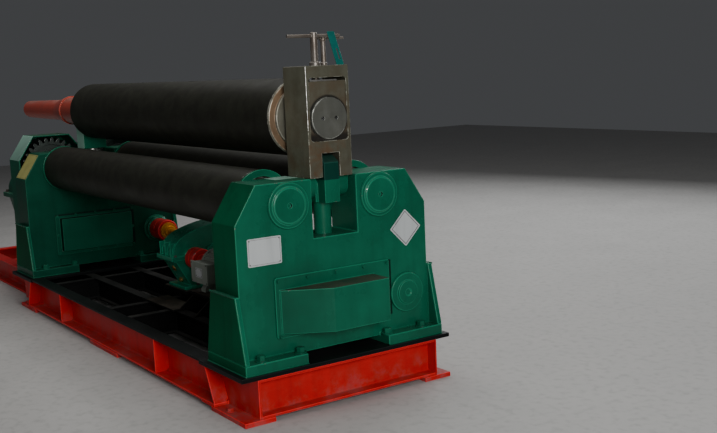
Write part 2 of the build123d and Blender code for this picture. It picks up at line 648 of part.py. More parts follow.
# Stand of the lift drive: a plate under the reducer, a raised seat under the motor, a sole bar
# along the rear rail and a mounting plate over the crossing of the front rail
SEAT_X0 = LIFT_MOTOR_X0 - 10.0
SEAT_X1 = SEAT_X0 + 470.0
SEAT_Y0 = LIFT_Y - 150.0
SEAT_Y1 = LIFT_Y + 150.0
RAIL_EDGE = FRONT_RAIL_Y - INNER_W / 2
with BuildPart() as lift_stand:
    block(LIFT_X0 - 35, LIFT_X1 + 35, LIFT_Y - 75, 560, LIFT_STAND_Z - 20, LIFT_STAND_Z)
    block(LIFT_X0 - 30, LIFT_X1 + 20, BEAM_IN + 9, 550, DECK_Z, LIFT_STAND_Z - 20)
    block(LIFT_X0 - 10, SEAT_X1, REAR_RAIL_Y - 30, REAR_RAIL_Y + 30, END_Z1, LIFT_STAND_Z - 20)
    block(CROSS_X[1] - 25, CROSS_X[1] + 25, LIFT_Y - 70, REAR_RAIL_Y - 30, END_Z1, LIFT_STAND_Z - 20)
    block(SEAT_X0, SEAT_X1, SEAT_Y0, SEAT_Y1, SEAT_Z - SEAT_T, SEAT_Z)
    for x in (SEAT_X0 + 20, (SEAT_X0 + SEAT_X1) / 2, SEAT_X1 - 32):
        outline_x(
            [(RAIL_EDGE + 4, END_Z1), (REAR_RAIL_Y + 30, END_Z1), (SEAT_Y1 - 6, SEAT_Z - SEAT_T),
             (SEAT_Y0 + 6, SEAT_Z - SEAT_T)], x, x + PLATE_T)
    block(CROSS_X[1] - 35, SEAT_X0 + 20 + PLATE_T, RAIL_EDGE - 22, FRONT_RAIL_Y + 95, END_Z1, END_Z1 + PLATE_T)
save(lift_stand.part, "lift_stand")

# Reducer of the lift drive, with ribs at its front end and bearing caps
LIFT_MID = plane_yz((LIFT_X0 + LIFT_X1) / 2)
LIFT_HALF = (LIFT_X1 - LIFT_X0) / 2
LIFT_TOP = [
    (-62, WORM_Z), (-58, WORM_Z + 50), (60, WORM_Z + 150), (210, WORM_Z + 186), (390, WORM_Z + 205),
    (560, WORM_Z + 70), (585, WORM_Z)]
with BuildPart() as lift_reducer:
    gear_unit(LIFT_MID, LIFT_HALF - 25, (-10, 545), LIFT_STAND_Z, LIFT_TOP, 60)
    block(LIFT_X0, LIFT_X1, LIFT_Y - 60, 545, LIFT_STAND_Z, LIFT_STAND_Z + 18)
    block(LIFT_CAP_X0, LIFT_CAP_X1, -82, 605, WORM_Z - 12, WORM_Z + 12)
    block(LIFT_X0 + 15, LIFT_X1 - 15, -64, 588, WORM_Z - 24, WORM_Z - 12)
    for y, r in ((WORM_Y, 72), (LIFT_Y, 50), (LIFT_Y + 150, 58)):
        turned_x([(LIFT_CAP_X0, r - 4), (LIFT_CAP_X0 + 4, r), (LIFT_CAP_X1 - 4, r), (LIFT_CAP_X1, r - 4)], y, WORM_Z)
    for x in (LIFT_X0 + 40, (LIFT_X0 + LIFT_X1) / 2 - 5, LIFT_X1 - 50):
        outline_y([(x, WORM_Z + 12), (x + 10, WORM_Z + 12), (x + 10, WORM_Z + 92), (x, WORM_Z + 92)], -74, 10)
    rod_x(LIFT_X1 - 10, LIFT_X1 + 30, LIFT_Y, WORM_Z, LIFT_SHAFT_R)
save(lift_reducer.part, "lift_reducer")

# Coupling between lift motor and reducer
COUPLING_X0 = LIFT_X1 + 30
with BuildPart() as lift_motor_coupling:
    turned_x(
        [(COUPLING_X0, LIFT_COUPLING_R - 4), (COUPLING_X0 + 4, LIFT_COUPLING_R), (COUPLING_X0 + 52, LIFT_COUPLING_R),
         (COUPLING_X0 + 52, LIFT_COUPLING_R - 12), (COUPLING_X0 + 58, LIFT_COUPLING_R - 12),
         (COUPLING_X0 + 58, LIFT_COUPLING_R), (COUPLING_X0 + 106, LIFT_COUPLING_R),
         (COUPLING_X0 + 110, LIFT_COUPLING_R - 4), (COUPLING_X0 + 110, 34), (LIFT_MOTOR_X0 - 40, 34),
         (LIFT_MOTOR_X0 - 40, LIFT_SHAFT_R), (LIFT_MOTOR_X0, LIFT_SHAFT_R)], LIFT_Y, WORM_Z)
save(lift_motor_coupling.part, "lift_motor_coupling")

# Lift motor with its terminal box on the front side
BOX_X0 = LIFT_MOTOR_X0 + 45
BOX_Y0 = LIFT_Y - 155
with BuildPart() as lift_motor:
    finned_motor(LIFT_MOTOR_X0, LIFT_MOTOR_L, LIFT_Y, WORM_Z, LIFT_MOTOR_R, 24, 1)
    for x in (LIFT_MOTOR_X0 + 90.0, LIFT_MOTOR_X0 + 280.0):
        motor_feet(x, LIFT_Y, WORM_Z, LIFT_MOTOR_R, LIFT_MOTOR_R + 20, SEAT_Z)
    block(BOX_X0, BOX_X0 + 190, BOX_Y0 + 10, LIFT_Y - 0.6 * LIFT_MOTOR_R, WORM_Z - 72, WORM_Z + 38)
    block(BOX_X0 - 6, BOX_X0 + 196, BOX_Y0, BOX_Y0 + 10, WORM_Z - 78, WORM_Z + 44)
save(lift_motor.part, "lift_motor")

# Cross shafts of the lift drive, with a hub at each outer end
HUB_GAP = 160.0
COUPLING_IN = FRAME_IN - HUB_IN - HUB_GAP
with BuildPart() as lift_shafts:
    turned_x(
        [(-COUPLING_IN, 58), (-COUPLING_IN + 16, 58), (-COUPLING_IN + 16, 40), (-COUPLING_IN + 45, 36),
         (-COUPLING_IN + 45, LIFT_SHAFT_R), (LIFT_CAP_X0, LIFT_SHAFT_R)], WORM_Y, WORM_Z)
    turned_x(
        [(COUPLING_IN, 58), (COUPLING_IN - 16, 58), (COUPLING_IN - 16, 40), (COUPLING_IN - 45, 36),
         (COUPLING_IN - 45, LIFT_SHAFT_R), (LIFT_CAP_X1, LIFT_SHAFT_R)], WORM_Y, WORM_Z)
save(lift_shafts.part, "lift_shafts")

# Couplings at the worm hubs
with BuildPart() as lift_shaft_couplings:
    for sign in (-1, 1):
        turned_x(
            [(sign * COUPLING_IN, 72), (sign * (COUPLING_IN + 4), 76), (sign * (COUPLING_IN + 76), 76),
             (sign * (COUPLING_IN + 76), 66), (sign * (COUPLING_IN + 84), 66), (sign * (COUPLING_IN + 84), 74),
             (sign * (COUPLING_IN + HUB_GAP - 4), 74), (sign * (COUPLING_IN + HUB_GAP), 70)], WORM_Y, WORM_Z)
save(lift_shaft_couplings.part, "lift_shaft_couplings")


def lower_roll(y):
    turned_x(
        [(GEAR_X0 - 12, NECK_R - 3), (GEAR_X0 - 9, NECK_R), (-ROLL_HALF - 6, NECK_R), (-ROLL_HALF - 6, LOW_COLLAR_R),
         (-ROLL_HALF, LOW_COLLAR_R), (-ROLL_HALF, LOW_R - ROLL_CHAMFER), (-ROLL_HALF + ROLL_CHAMFER, LOW_R),
         (ROLL_HALF - ROLL_CHAMFER, LOW_R), (ROLL_HALF, LOW_R - ROLL_CHAMFER), (ROLL_HALF, LOW_COLLAR_R),
         (ROLL_HALF + 6, LOW_COLLAR_R), (ROLL_HALF + 6, NECK_R), (FRAME_OUT - 20, NECK_R)], y, LOW_Z)


# Lower rolls
with BuildPart() as lower_roll_front:
    lower_roll(-SPAN / 2)
save(lower_roll_front.part, "lower_roll_front")
with BuildPart() as lower_roll_rear:
    lower_roll(SPAN / 2)
save(lower_roll_rear.part, "lower_roll_rear")

# Toothed drive: one pinion turns the gears of both lower rolls
RISE = LOW_Z - PINION_Z


def toothed(x0, x1, y, z, teeth, phase, bore_r):
    with BuildSketch(Plane(origin=(x0, y, z), x_dir=(0, 1, 0), z_dir=(1, 0, 0))) as wheel:
        with BuildLine():
            Polyline(*gear_points(teeth, phase), close=True)
        make_face()
        if bore_r:
            Circle(bore_r, mode=Mode.SUBTRACT)
    extrude(wheel.sketch, amount=x1 - x0)


def roll_gear(side):
    phase = mesh_phase(math.atan2(RISE, side * SPAN / 2))
    rim_r = GEAR_PITCH_R - 1.25 * MODULE - GEAR_RIM
    toothed(GEAR_X0, GEAR_X1, side * SPAN / 2, LOW_Z, GEAR_TEETH, phase, NECK_R + FIT)
    for x in (GEAR_X0, GEAR_X1 - GEAR_RECESS):
        with BuildSketch(Plane(origin=(x, side * SPAN / 2, LOW_Z), x_dir=(0, 1, 0), z_dir=(1, 0, 0))) as web:
            Circle(rim_r)
            Circle(GEAR_HUB_R, mode=Mode.SUBTRACT)
        extrude(web.sketch, amount=GEAR_RECESS, mode=Mode.SUBTRACT)


with BuildPart() as front_roll_gear:
    roll_gear(-1)
save(front_roll_gear.part, "front_roll_gear")
with BuildPart() as rear_roll_gear:
    roll_gear(1)
save(rear_roll_gear.part, "rear_roll_gear")
with BuildPart() as drive_pinion:
    toothed(GEAR_X0 - 4, GEAR_X1 + 4, 0, PINION_Z, PINION_TEETH, 0.0, 0)
    rod_x(REDUCER_X1 - 45, -FRAME_OUT + PINION_SEAT - 5, 0, PINION_Z, PINION_SHAFT_R)
save(drive_pinion.part, "drive_pinion")

# Screw head that carries the tilting housing: bosses round the pin, and a tall tongue between the
# legs of the housing, rounded about the pin
with BuildPart() as near_lift_screw:
    rod_z(HOUSE_X, 0, SCREW_Z0, LUG_Z0, SCREW_R)
    with BuildSketch(plane_xz(TONGUE_Y)) as tongue:
        with Locations((HOUSE_X, PIVOT_Z)):
            Circle(TONGUE_R)
        with Locations((HOUSE_X, (LUG_Z0 + SLOT_Z) / 2)):
            Rectangle(HOUSE_D, SLOT_Z - LUG_Z0, mode=Mode.INTERSECT)
    extrude(tongue.sketch, amount=2 * TONGUE_Y)
    with BuildSketch(plane_xz(-LUG_Y)) as lug:
        with Locations((HOUSE_X, PIVOT_Z)):
            Circle(LUG_R)
        with Locations((HOUSE_X, (LUG_Z0 + PIVOT_Z) / 2)):
            Rectangle(2 * LUG_R, PIVOT_Z - LUG_Z0)
    extrude(lug.sketch, amount=-2 * LUG_Y)
    rod_y(HOUSE_X, -LUG_Y, LUG_Y, PIVOT_Z, PIVOT_R + FIT, mode=Mode.SUBTRACT)
save(near_lift_screw.part, "near_lift_screw")

# Hinge pin
with BuildPart() as near_hinge_pin:
    rod_y(HOUSE_X, -HOUSE_Y + 2, HOUSE_Y - 2, PIVOT_Z, PIVOT_R)
save(near_hinge_pin.part, "near_hinge_pin")

# Screw and bearing block at the drive end
with BuildPart() as far_lift_screw:
    rod_z(-FRAME_X, 0, SCREW_Z0, FAR_BLOCK_Z0, SCREW_R)
save(far_lift_screw.part, "far_lift_screw")
with BuildPart() as far_bearing_block:
    with BuildSketch(plane_yz(FAR_BLOCK_X0)) as body:
        with Locations((0, UP_Z)):
            Circle(FAR_BLOCK_R)
        with Locations((0, (UP_Z + FAR_BLOCK_Z0) / 2)):
            Rectangle(2 * FAR_BLOCK_Y, UP_Z - FAR_BLOCK_Z0)
        with Locations((0, UP_Z)):
            Circle(UP_NECK_R + FIT, mode=Mode.SUBTRACT)
    extrude(body.sketch, amount=FAR_BLOCK_X1 - FAR_BLOCK_X0)
    with BuildSketch(plane_yz(FAR_BLOCK_X1)) as ring:
        with Locations((0, UP_Z)):
            Circle(FAR_BLOCK_R - 8)
            Circle(UP_NECK_R + FIT, mode=Mode.SUBTRACT)
    extrude(ring.sketch, amount=10)
save(far_bearing_block.part, "far_bearing_block")

# Upper roll with its journals: stepped ends, a tapered journal at the tilting end
NECK_END = HOUSE_X - JOURNAL_HALF - 12
with BuildPart() as upper_roll:
    turned_x(
        [(TAIL_X1, UP_NECK_R), (-ROLL_HALF - 14, UP_NECK_R), (-ROLL_HALF - 14, COLLAR_R - 3),
         (-ROLL_HALF - 11, COLLAR_R), (-ROLL_HALF, COLLAR_R), (-ROLL_HALF, UP_R - ROLL_CHAMFER),
         (-ROLL_HALF + ROLL_CHAMFER, UP_R), (ROLL_HALF - ROLL_CHAMFER, UP_R), (ROLL_HALF, UP_R - ROLL_CHAMFER),
         (ROLL_HALF, COLLAR_R), (ROLL_HALF + 11, COLLAR_R), (ROLL_HALF + 14, COLLAR_R - 3),
         (ROLL_HALF + 14, UP_NECK_R), (NECK_END - 4, UP_NECK_R), (NECK_END, JOURNAL_R),
         (HOUSE_X + BUSH_HALF, JOURNAL_R), (HOUSE_X + JOURNAL_HALF, JOURNAL_R - 3.7)], 0, UP_Z)
save(upper_roll.part, "upper_roll")

# Tapered tail of the upper roll
with BuildPart() as upper_roll_tail:
    turned_x(
        [(TAIL_END_X, TAIL_END_R - 22), (TAIL_END_X + 6, TAIL_END_R - 8), (TAIL_END_X + 18, TAIL_END_R),
         (TAIL_X0, TAIL_R), (TAIL_HUB_X, TAIL_HUB_R), (TAIL_HUB_X + 20, TAIL_HUB_R),
         (TAIL_HUB_X + 20, TAIL_HUB_R - 8), (TAIL_X1, TAIL_HUB_R - 8)], 0, UP_Z)
save(upper_roll_tail.part, "upper_roll_tail")

# Tilting bearing housing
with BuildPart() as tilt_housing:
    with BuildSketch(plane_yz(HOUSE_X - HOUSE_D / 2)) as face:
        with Locations((0, (CHEEK_TOP + HOUSE_TOP) / 2)):
            RectangleRounded(2 * HOUSE_Y, HOUSE_TOP - CHEEK_TOP, 5)
        with Locations((0, (WIN_Z0 + WIN_Z1) / 2)):
            RectangleRounded(2 * WIN_Y, WIN_Z1 - WIN_Z0, 14, mode=Mode.SUBTRACT)
        with Locations((0, (CHEEK_TOP + SLOT_Z) / 2)):
            Rectangle(2 * SLOT_Y, SLOT_Z - CHEEK_TOP, mode=Mode.SUBTRACT)
    extrude(face.sketch, amount=HOUSE_D)
    for side in (-1, 1):
        with BuildSketch(plane_xz(side * CHEEK_Y0)) as cheek:
            with Locations((HOUSE_X, PIVOT_Z)):
                Circle(CHEEK_R)
            with Locations((HOUSE_X, (PIVOT_Z + CHEEK_TOP) / 2)):
                Rectangle(2 * CHEEK_R, CHEEK_TOP - PIVOT_Z)
            with Locations((HOUSE_X, PIVOT_Z)):
                Circle(PIVOT_R + FIT, mode=Mode.SUBTRACT)
        extrude(cheek.sketch, amount=-side * (HOUSE_Y - CHEEK_Y0))
    rod_z(HOUSE_X, 0, WIN_Z1 - 1, HOUSE_TOP + 1, TEE_R + FIT, mode=Mode.SUBTRACT)
save(tilt_housing.part, "tilt_housing")

# Bearing block in the window of the tilting housing: the bush is a narrow band at the pivot's
# plane, so the housing tips over the end of the tapered journal
BLOCK_HALF = BLOCK_D / 2
MOUTH_R = 84.0
with BuildPart() as tilt_bearing_block:
    with BuildSketch(plane_yz(HOUSE_X - BLOCK_HALF)) as face:
        with Locations((0, (WIN_Z0 + BLOCK_Z1) / 2)):
            Rectangle(2 * WIN_Y, BLOCK_Z1 - WIN_Z0)
        fillet(face.vertices().group_by(Axis.Y)[0], 14)
    extrude(face.sketch, amount=BLOCK_D)
    turned_x(
        [(HOUSE_X - BLOCK_HALF, MOUTH_R), (HOUSE_X - JOURNAL_HALF - 4, MOUTH_R), (HOUSE_X - JOURNAL_HALF - 4, 72),
         (HOUSE_X - BUSH_HALF, JOURNAL_R + FIT), (HOUSE_X + BUSH_HALF, JOURNAL_R + FIT),
         (HOUSE_X + JOURNAL_HALF + 4, 75), (HOUSE_X + JOURNAL_HALF + 4, MOUTH_R),
         (HOUSE_X + BLOCK_HALF - CAP_SEAT, MOUTH_R), (HOUSE_X + BLOCK_HALF - CAP_SEAT, CAP_R + CAP_GAP),
         (HOUSE_X + BLOCK_HALF, CAP_R + CAP_GAP)], 0, UP_Z, mode=Mode.SUBTRACT)
save(tilt_bearing_block.part, "tilt_bearing_block")

# Round cap of the tilting bearing, with two blind holes for a hook spanner
CAP_X0 = HOUSE_X + BLOCK_HALF - CAP_SEAT
with BuildPart() as tilt_bearing_cap:
    turned_x([(CAP_X0, CAP_R), (CAP_X0 + CAP_T - 3, CAP_R), (CAP_X0 + CAP_T, CAP_R - 3)], 0, UP_Z)
    for y in (-CAP_HOLE_Y, CAP_HOLE_Y):
        rod_x(CAP_X0 + CAP_SEAT, CAP_X0 + CAP_T, y, UP_Z, CAP_HOLE_R, mode=Mode.SUBTRACT)
save(tilt_bearing_cap.part, "tilt_bearing_cap")

# Screws with cross bars on the tilting housing
with BuildPart() as tee_screw:
    turned_z(
        [(TEE_R, BLOCK_Z1), (TEE_R, HOUSE_TOP), (26, HOUSE_TOP), (26, HOUSE_TOP + 14), (23, HOUSE_TOP + 18),
         (TEE_R, HOUSE_TOP + 18), (TEE_R, TEE_TOP - 3), (TEE_R - 3, TEE_TOP)], HOUSE_X, 0)
    rod_y(HOUSE_X, -TEE_BAR_HALF, TEE_BAR_HALF, TEE_BAR_Z, TEE_BAR_R)
save(tee_screw.part, "tee_screw")
with BuildPart() as small_tee_screw:
    turned_z(
        [(16, HOUSE_TOP), (16, HOUSE_TOP + 12), (12, HOUSE_TOP + 14), (12, TEE_BAR_Z - 26), (16, TEE_BAR_Z - 20),
         (16, TEE_BAR_Z)], SMALL_TEE_X, SMALL_TEE_Y)
    rod_y(SMALL_TEE_X, SMALL_TEE_Y - 25, SMALL_TEE_Y + 115, TEE_BAR_Z - 10, 6)
save(small_tee_screw.part, "small_tee_screw")

# Flat stay that leans from the top of the housing against the cross bar
LEAN = math.radians(STAY_LEAN)
STAY_OFF = TEE_BAR_R + FIT
with BuildPart() as tee_stay:
    stay_plane = Plane(
        origin=(HOUSE_X + STAY_OFF * math.cos(LEAN), STAY_Y, TEE_BAR_Z + STAY_OFF * math.sin(LEAN)),
        x_dir=(0, 1, 0), z_dir=(math.cos(LEAN), 0, math.sin(LEAN)))
    with BuildSketch(stay_plane) as bar:
        with Locations((0, STAY_OVER - STAY_LENGTH / 2)):
            Rectangle(STAY_W, STAY_LENGTH)
        with Locations((6, -100)):
            SlotOverall(60, 10, rotation=90, mode=Mode.SUBTRACT)
    extrude(bar.sketch, amount=STAY_T)
    block(HOUSE_X - 200, HOUSE_X + 200, 0, 200, HOUSE_TOP - 60, HOUSE_TOP, mode=Mode.SUBTRACT)
save(tee_stay.part, "tee_stay")
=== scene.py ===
# %% [markdown]
# # A plate rolling machine, dressed over its CAD model
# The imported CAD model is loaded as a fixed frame. Every later cell adds a finish or a piece to it, in metres and in
# the same axes: X along the rolls toward the tilting end, Y toward the rear roll, Z up, origin on the floor.

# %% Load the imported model
import json
import math
import bmesh
import bpy
from mathutils import Matrix, Vector
from mathutils.bvhtree import BVHTree


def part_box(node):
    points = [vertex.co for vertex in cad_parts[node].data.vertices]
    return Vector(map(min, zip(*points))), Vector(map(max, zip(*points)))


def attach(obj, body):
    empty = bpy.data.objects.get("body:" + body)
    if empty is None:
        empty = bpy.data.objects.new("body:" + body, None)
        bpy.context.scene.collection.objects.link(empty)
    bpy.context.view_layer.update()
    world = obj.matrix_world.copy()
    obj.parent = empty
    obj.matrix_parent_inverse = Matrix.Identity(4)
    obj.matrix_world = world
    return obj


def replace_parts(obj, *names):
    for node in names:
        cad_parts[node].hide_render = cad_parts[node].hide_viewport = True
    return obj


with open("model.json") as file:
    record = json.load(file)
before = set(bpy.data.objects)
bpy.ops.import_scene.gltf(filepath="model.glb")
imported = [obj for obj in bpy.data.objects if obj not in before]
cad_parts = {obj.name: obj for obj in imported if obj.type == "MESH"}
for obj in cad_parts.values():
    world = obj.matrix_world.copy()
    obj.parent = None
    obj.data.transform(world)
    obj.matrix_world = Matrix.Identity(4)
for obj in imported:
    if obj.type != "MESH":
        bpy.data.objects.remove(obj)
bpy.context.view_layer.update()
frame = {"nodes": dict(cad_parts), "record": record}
BODY_OF = {node: body for body, names in frame["record"]["behaviour"]["bodies"].items() for node in names}
SLOT_OF = {entry["node"]: entry["material_slot"] for entry in frame["record"]["subparts"]}
UPPER_Z, LOWER_Z, HALF_SPAN, FRAME_X = 1.32, 0.944, 0.25, 1.52  # the rolls' axes, and the middle of a side frame

# %% [markdown]
# ## Camera, floor and light
# The camera stands where the photographer stood, at the front left of the tilting end, 1.55 m above the floor. Its
# place was worked out from the straight edges of the machine, so it is written as one matrix. The floor is one pale
# plane, and large soft lamps stand in for the workshop's windows and lamps: the long window behind the machine
# gives the bright lines on the tops of the rolls and plates, and the one at its end lights the near frame and the
# housing, so these two lamps are the strongest.

# %% Camera
def in_scene(name, data):
    made = bpy.data.objects.new(name, data)
    bpy.context.scene.collection.objects.link(made)
    return made


EYE = Vector((5.62, -2.562, 1.55))
LOOK = Matrix(((0.5642715, -0.0943374, 0.8201817), (0.8243997, 0.1176946, -0.5536362),
               (-0.0443024, 0.9885588, 0.1441835)))
camera = in_scene("camera", bpy.data.cameras.new("camera"))
camera.data.lens = 51.846
camera.data.sensor_width = 36.0
camera.matrix_world = Matrix.Translation(EYE) @ LOOK.to_4x4()
bpy.context.scene.camera = camera
print("camera at", tuple(EYE), "lens", camera.data.lens)


# %% Lamps, world and floor
def soft_lamp(name, place, aim, size, power, tint=(1, 1, 1)):
    lamp = bpy.data.lights.new(name, "AREA")
    lamp.shape = "RECTANGLE"
    lamp.size, lamp.size_y = size
    lamp.energy = power
    lamp.color = tint
    holder = in_scene(name, lamp)
    holder.location = place
    holder.rotation_euler = (Vector(aim) - Vector(place)).to_track_quat("-Z", "Y").to_euler()


soft_lamp("overhead", (-0.6, 0.5, 5.2), (-0.6, 0.2, 0), (6.5, 3.0), 150, (1, 0.99, 0.97))
soft_lamp("end_window", (7.6, -1.9, 2.5), (0.9, -0.2, 0.8), (2.8, 2.2), 290, (0.99, 1, 1))
soft_lamp("back_window", (-1.5, 6.5, 3.6), (0, 0, 1.0), (7.0, 2.0), 240, (0.96, 0.98, 1))
soft_lamp("front_fill", (0.6, -6.0, 4.6), (-0.3, -0.2, 0.7), (4.0, 2.5), 34)
world = bpy.data.worlds.new("workshop")
world.use_nodes = True
sky = world.node_tree.nodes["Background"].inputs
sky["Color"].default_value = (0.55, 0.57, 0.6, 1)
sky["Strength"].default_value = 0.10
bpy.context.scene.world = world
FLOOR_REACH = 14
floor_corners = [(a * FLOOR_REACH, b * FLOOR_REACH, 0) for a, b in ((-1, -1), (1, -1), (1, 1), (-1, 1))]
floor_mesh = bpy.data.meshes.new("floor")
floor_mesh.from_pydata(floor_corners, [], [(0, 1, 2, 3)])
in_scene("floor", floor_mesh)

# %% [markdown]
# ## Shader groups
# Paint and steel on a shop machine share a few effects: dust lies on faces that look up, edges rub bare, no coat is
# one even colour, oil runs down in streaks, steel rusts in blotches, and a lathe leaves rings. Some groups also serve
# painted light and shade: the bevel faces for a painted highlight, a painted shadow round the bearing cap and under
# it, and a painted sheen that turns round a faced end. Each effect is a small node group that gives only masks and
# heights, so every finish below mixes the same few in its own amounts.


# %% Node helpers
def put(tree, kind, **settings):
    node = tree.nodes.new(kind)
    for key, value in settings.items():
        setattr(node, key, value)
    return node


def filled(node, **values):
    for key, value in values.items():
        node.inputs[key.replace("_", " ")].default_value = value
    return node


def maths(tree, operation, first, second=0.5, clamp=False):
    node = put(tree, "ShaderNodeMath", operation=operation, use_clamp=clamp)
    for place, value in enumerate((first, second)):
        if isinstance(value, (int, float)):
            node.inputs[place].default_value = value
        else:
            tree.links.new(value, node.inputs[place])
    return node.outputs[0]


def times(tree, first, second, clamp=False):
    return maths(tree, "MULTIPLY", first, second, clamp)


def ramp(tree, value, low, high):
    node = filled(put(tree, "ShaderNodeMapRange", interpolation_type="SMOOTHSTEP"), From_Min=low, From_Max=high)
    tree.links.new(value, node.inputs["Value"])
    return node.outputs["Result"]


def noise(tree, scale, detail, rough, vector=None):
    node = filled(put(tree, "ShaderNodeTexNoise"), Scale=scale, Detail=detail, Roughness=rough)
    tree.links.new(place_of(tree) if vector is None else vector, node.inputs["Vector"])
    return node.outputs["Fac"]


def place_of(tree):
    return put(tree, "ShaderNodeTexCoord").outputs["Object"]


def stretched(tree, scale):
    node = filled(put(tree, "ShaderNodeMapping"), Scale=scale)
    tree.links.new(place_of(tree), node.inputs["Vector"])
    return node.outputs[0]


def axes_of(tree, vector):
    node = put(tree, "ShaderNodeSeparateXYZ")
    tree.links.new(vector, node.inputs[0])
    return node.outputs


def from_roll_axis(tree):
    """How far a point lies across and above the upper roll's axis, and its distance from the axis."""
    place = axes_of(tree, place_of(tree))
    upward = maths(tree, "SUBTRACT", place["Z"], UPPER_Z)
    square = maths(tree, "ADD", times(tree, place["Y"], place["Y"]), times(tree, upward, upward))
    return place["Y"], upward, maths(tree, "SQRT", square)


def new_group(name, **inputs):
    tree = bpy.data.node_groups.new(name, "ShaderNodeTree")
    for label, value in inputs.items():
        tree.interface.new_socket(label, in_out="INPUT", socket_type="NodeSocketFloat").default_value = value
    return tree, tree.nodes.new("NodeGroupInput").outputs


def end_group(tree, **results):
    for label in results:
        tree.interface.new_socket(label, in_out="OUTPUT", socket_type="NodeSocketFloat")
    ends = tree.nodes.new("NodeGroupOutput").inputs
    for label, value in results.items():
        tree.links.new(value, ends[label])
    print("group", tree.name, "gives", *results)


# %% Group: dust that has settled on faces that look up
dust, given = new_group("settled_dust", Amount=0.6)
level = ramp(dust, axes_of(dust, put(dust, "ShaderNodeTexCoord").outputs["Normal"])["Z"], 0.45, 0.98)
patch = ramp(dust, noise(dust, 5.0, 6.0, 0.6), 0.32, 0.7)
speck = ramp(dust, noise(dust, 60.0, 3.0, 0.7), 0.3, 0.75)
cover = maths(dust, "ADD", times(dust, patch, 0.65), times(dust, speck, 0.35))
end_group(dust, Mask=times(dust, times(dust, level, cover), given["Amount"], True))

# %% Group: dirt thrown up from the floor, thickest in the lowest hand's breadth
splash, given = new_group("floor_dirt", Amount=0.5, Height=0.16)
height = axes_of(splash, place_of(splash))["Z"]
fall = maths(splash, "SUBTRACT", 1.0, maths(splash, "DIVIDE", height, given["Height"]), True)
cover = ramp(splash, noise(splash, 11.0, 7.0, 0.68), 0.42, 0.72)
end_group(splash, Mask=times(splash, times(splash, fall, cover), given["Amount"], True))

# %% Group: edges rubbed through to the metal, and the bevel faces for a painted highlight
# The mask comes from an attribute, rim, which the cell on soft edges writes on the narrow bevel faces. Rim passes
# the attribute on, and the enamels paint a highlight on every bevel face with it.
rubbed, given = new_group("rubbed_edges", Amount=0.5)
rim = put(rubbed, "ShaderNodeAttribute", attribute_name="rim").outputs["Fac"]
gaps = noise(rubbed, 26.0, 5.0, 0.65)
limit = maths(rubbed, "SUBTRACT", 0.78, times(rubbed, given["Amount"], 0.4))
end_group(rubbed, Mask=times(rubbed, maths(rubbed, "GREATER_THAN", gaps, limit), rim, True), Rim=rim)

# %% Group: slow changes of tone over a coat, fine grain, chips and runs
cloud, given = new_group("uneven_coat")
runs = noise(cloud, 1.0, 3.0, 0.5, stretched(cloud, (22.0, 22.0, 1.6)))
chips = noise(cloud, 34.0, 6.0, 0.72)
end_group(cloud, Tone=ramp(cloud, noise(cloud, 2.3, 5.0, 0.6), 0.25, 0.75),
          Blotch=ramp(cloud, noise(cloud, 13.0, 6.0, 0.66), 0.36, 0.64),
          Grain=noise(cloud, 170.0, 2.0, 0.5), Runs=ramp(cloud, runs, 0.45, 0.8),
          Chips=ramp(cloud, chips, 0.70, 0.735))

# %% Group: rust blotches, thickest at the hinge of the tilting housing
foxing, given = new_group("rust_blotches", Amount=0.6)
lowness = maths(foxing, "SUBTRACT", 0.0, axes_of(foxing, place_of(foxing))["Z"])
fall = maths(foxing, "ADD", ramp(foxing, lowness, -1.42, -1.08), 0.3)
stain = ramp(foxing, noise(foxing, 8.0, 7.0, 0.7), 0.44, 0.66)
end_group(foxing, Mask=times(foxing, times(foxing, fall, stain), given["Amount"], True))

# %% Group: painted shadow in the gap round the bearing cap and under it
cap_shade, given = new_group("painted_cap_shadow", Amount=0.9)
across, upward, radius = from_roll_axis(cap_shade)
below = ramp(cap_shade, times(cap_shade, upward, -1.0), 0.045, 0.085)
shade_mask = maths(cap_shade, "MAXIMUM", ramp(cap_shade, times(cap_shade, radius, -1.0), -0.112, -0.100), below)
end_group(cap_shade, Mask=times(cap_shade, shade_mask, given["Amount"], True))

# %% Group: rings left by a lathe whose axis lies along X
rings, given = new_group("lathe_rings", Pitch=160.0)
along = stretched(rings, (1.0, 0.02, 0.02))
fine = filled(put(rings, "ShaderNodeTexNoise"), Detail=3.0)
rings.links.new(along, fine.inputs["Vector"])
rings.links.new(given["Pitch"], fine.inputs["Scale"])
end_group(rings, Height=fine.outputs["Fac"], Band=ramp(rings, noise(rings, 14.0, 4.0, 0.7, along), 0.35, 0.7))

# %% Group: rings on a faced end, by the distance from the upper roll's axis, and a painted sheen round it
faced, given = new_group("faced_end", Pitch=420.0)
across, upward, radius = from_roll_axis(faced)
line = filled(put(faced, "ShaderNodeTexNoise", noise_dimensions="1D"), Detail=3.0)
faced.links.new(radius, line.inputs["W"])
faced.links.new(given["Pitch"], line.inputs["Scale"])
sweep = maths(faced, "ARCTAN2", across, upward)
# painted sheen: lighter and darker sectors in turn round the axis
painted_sheen = maths(faced, "ABSOLUTE", maths(faced, "SINE", maths(faced, "ADD", sweep, 0.7)))
end_group(faced, Height=line.outputs["Fac"], Shine=painted_sheen)

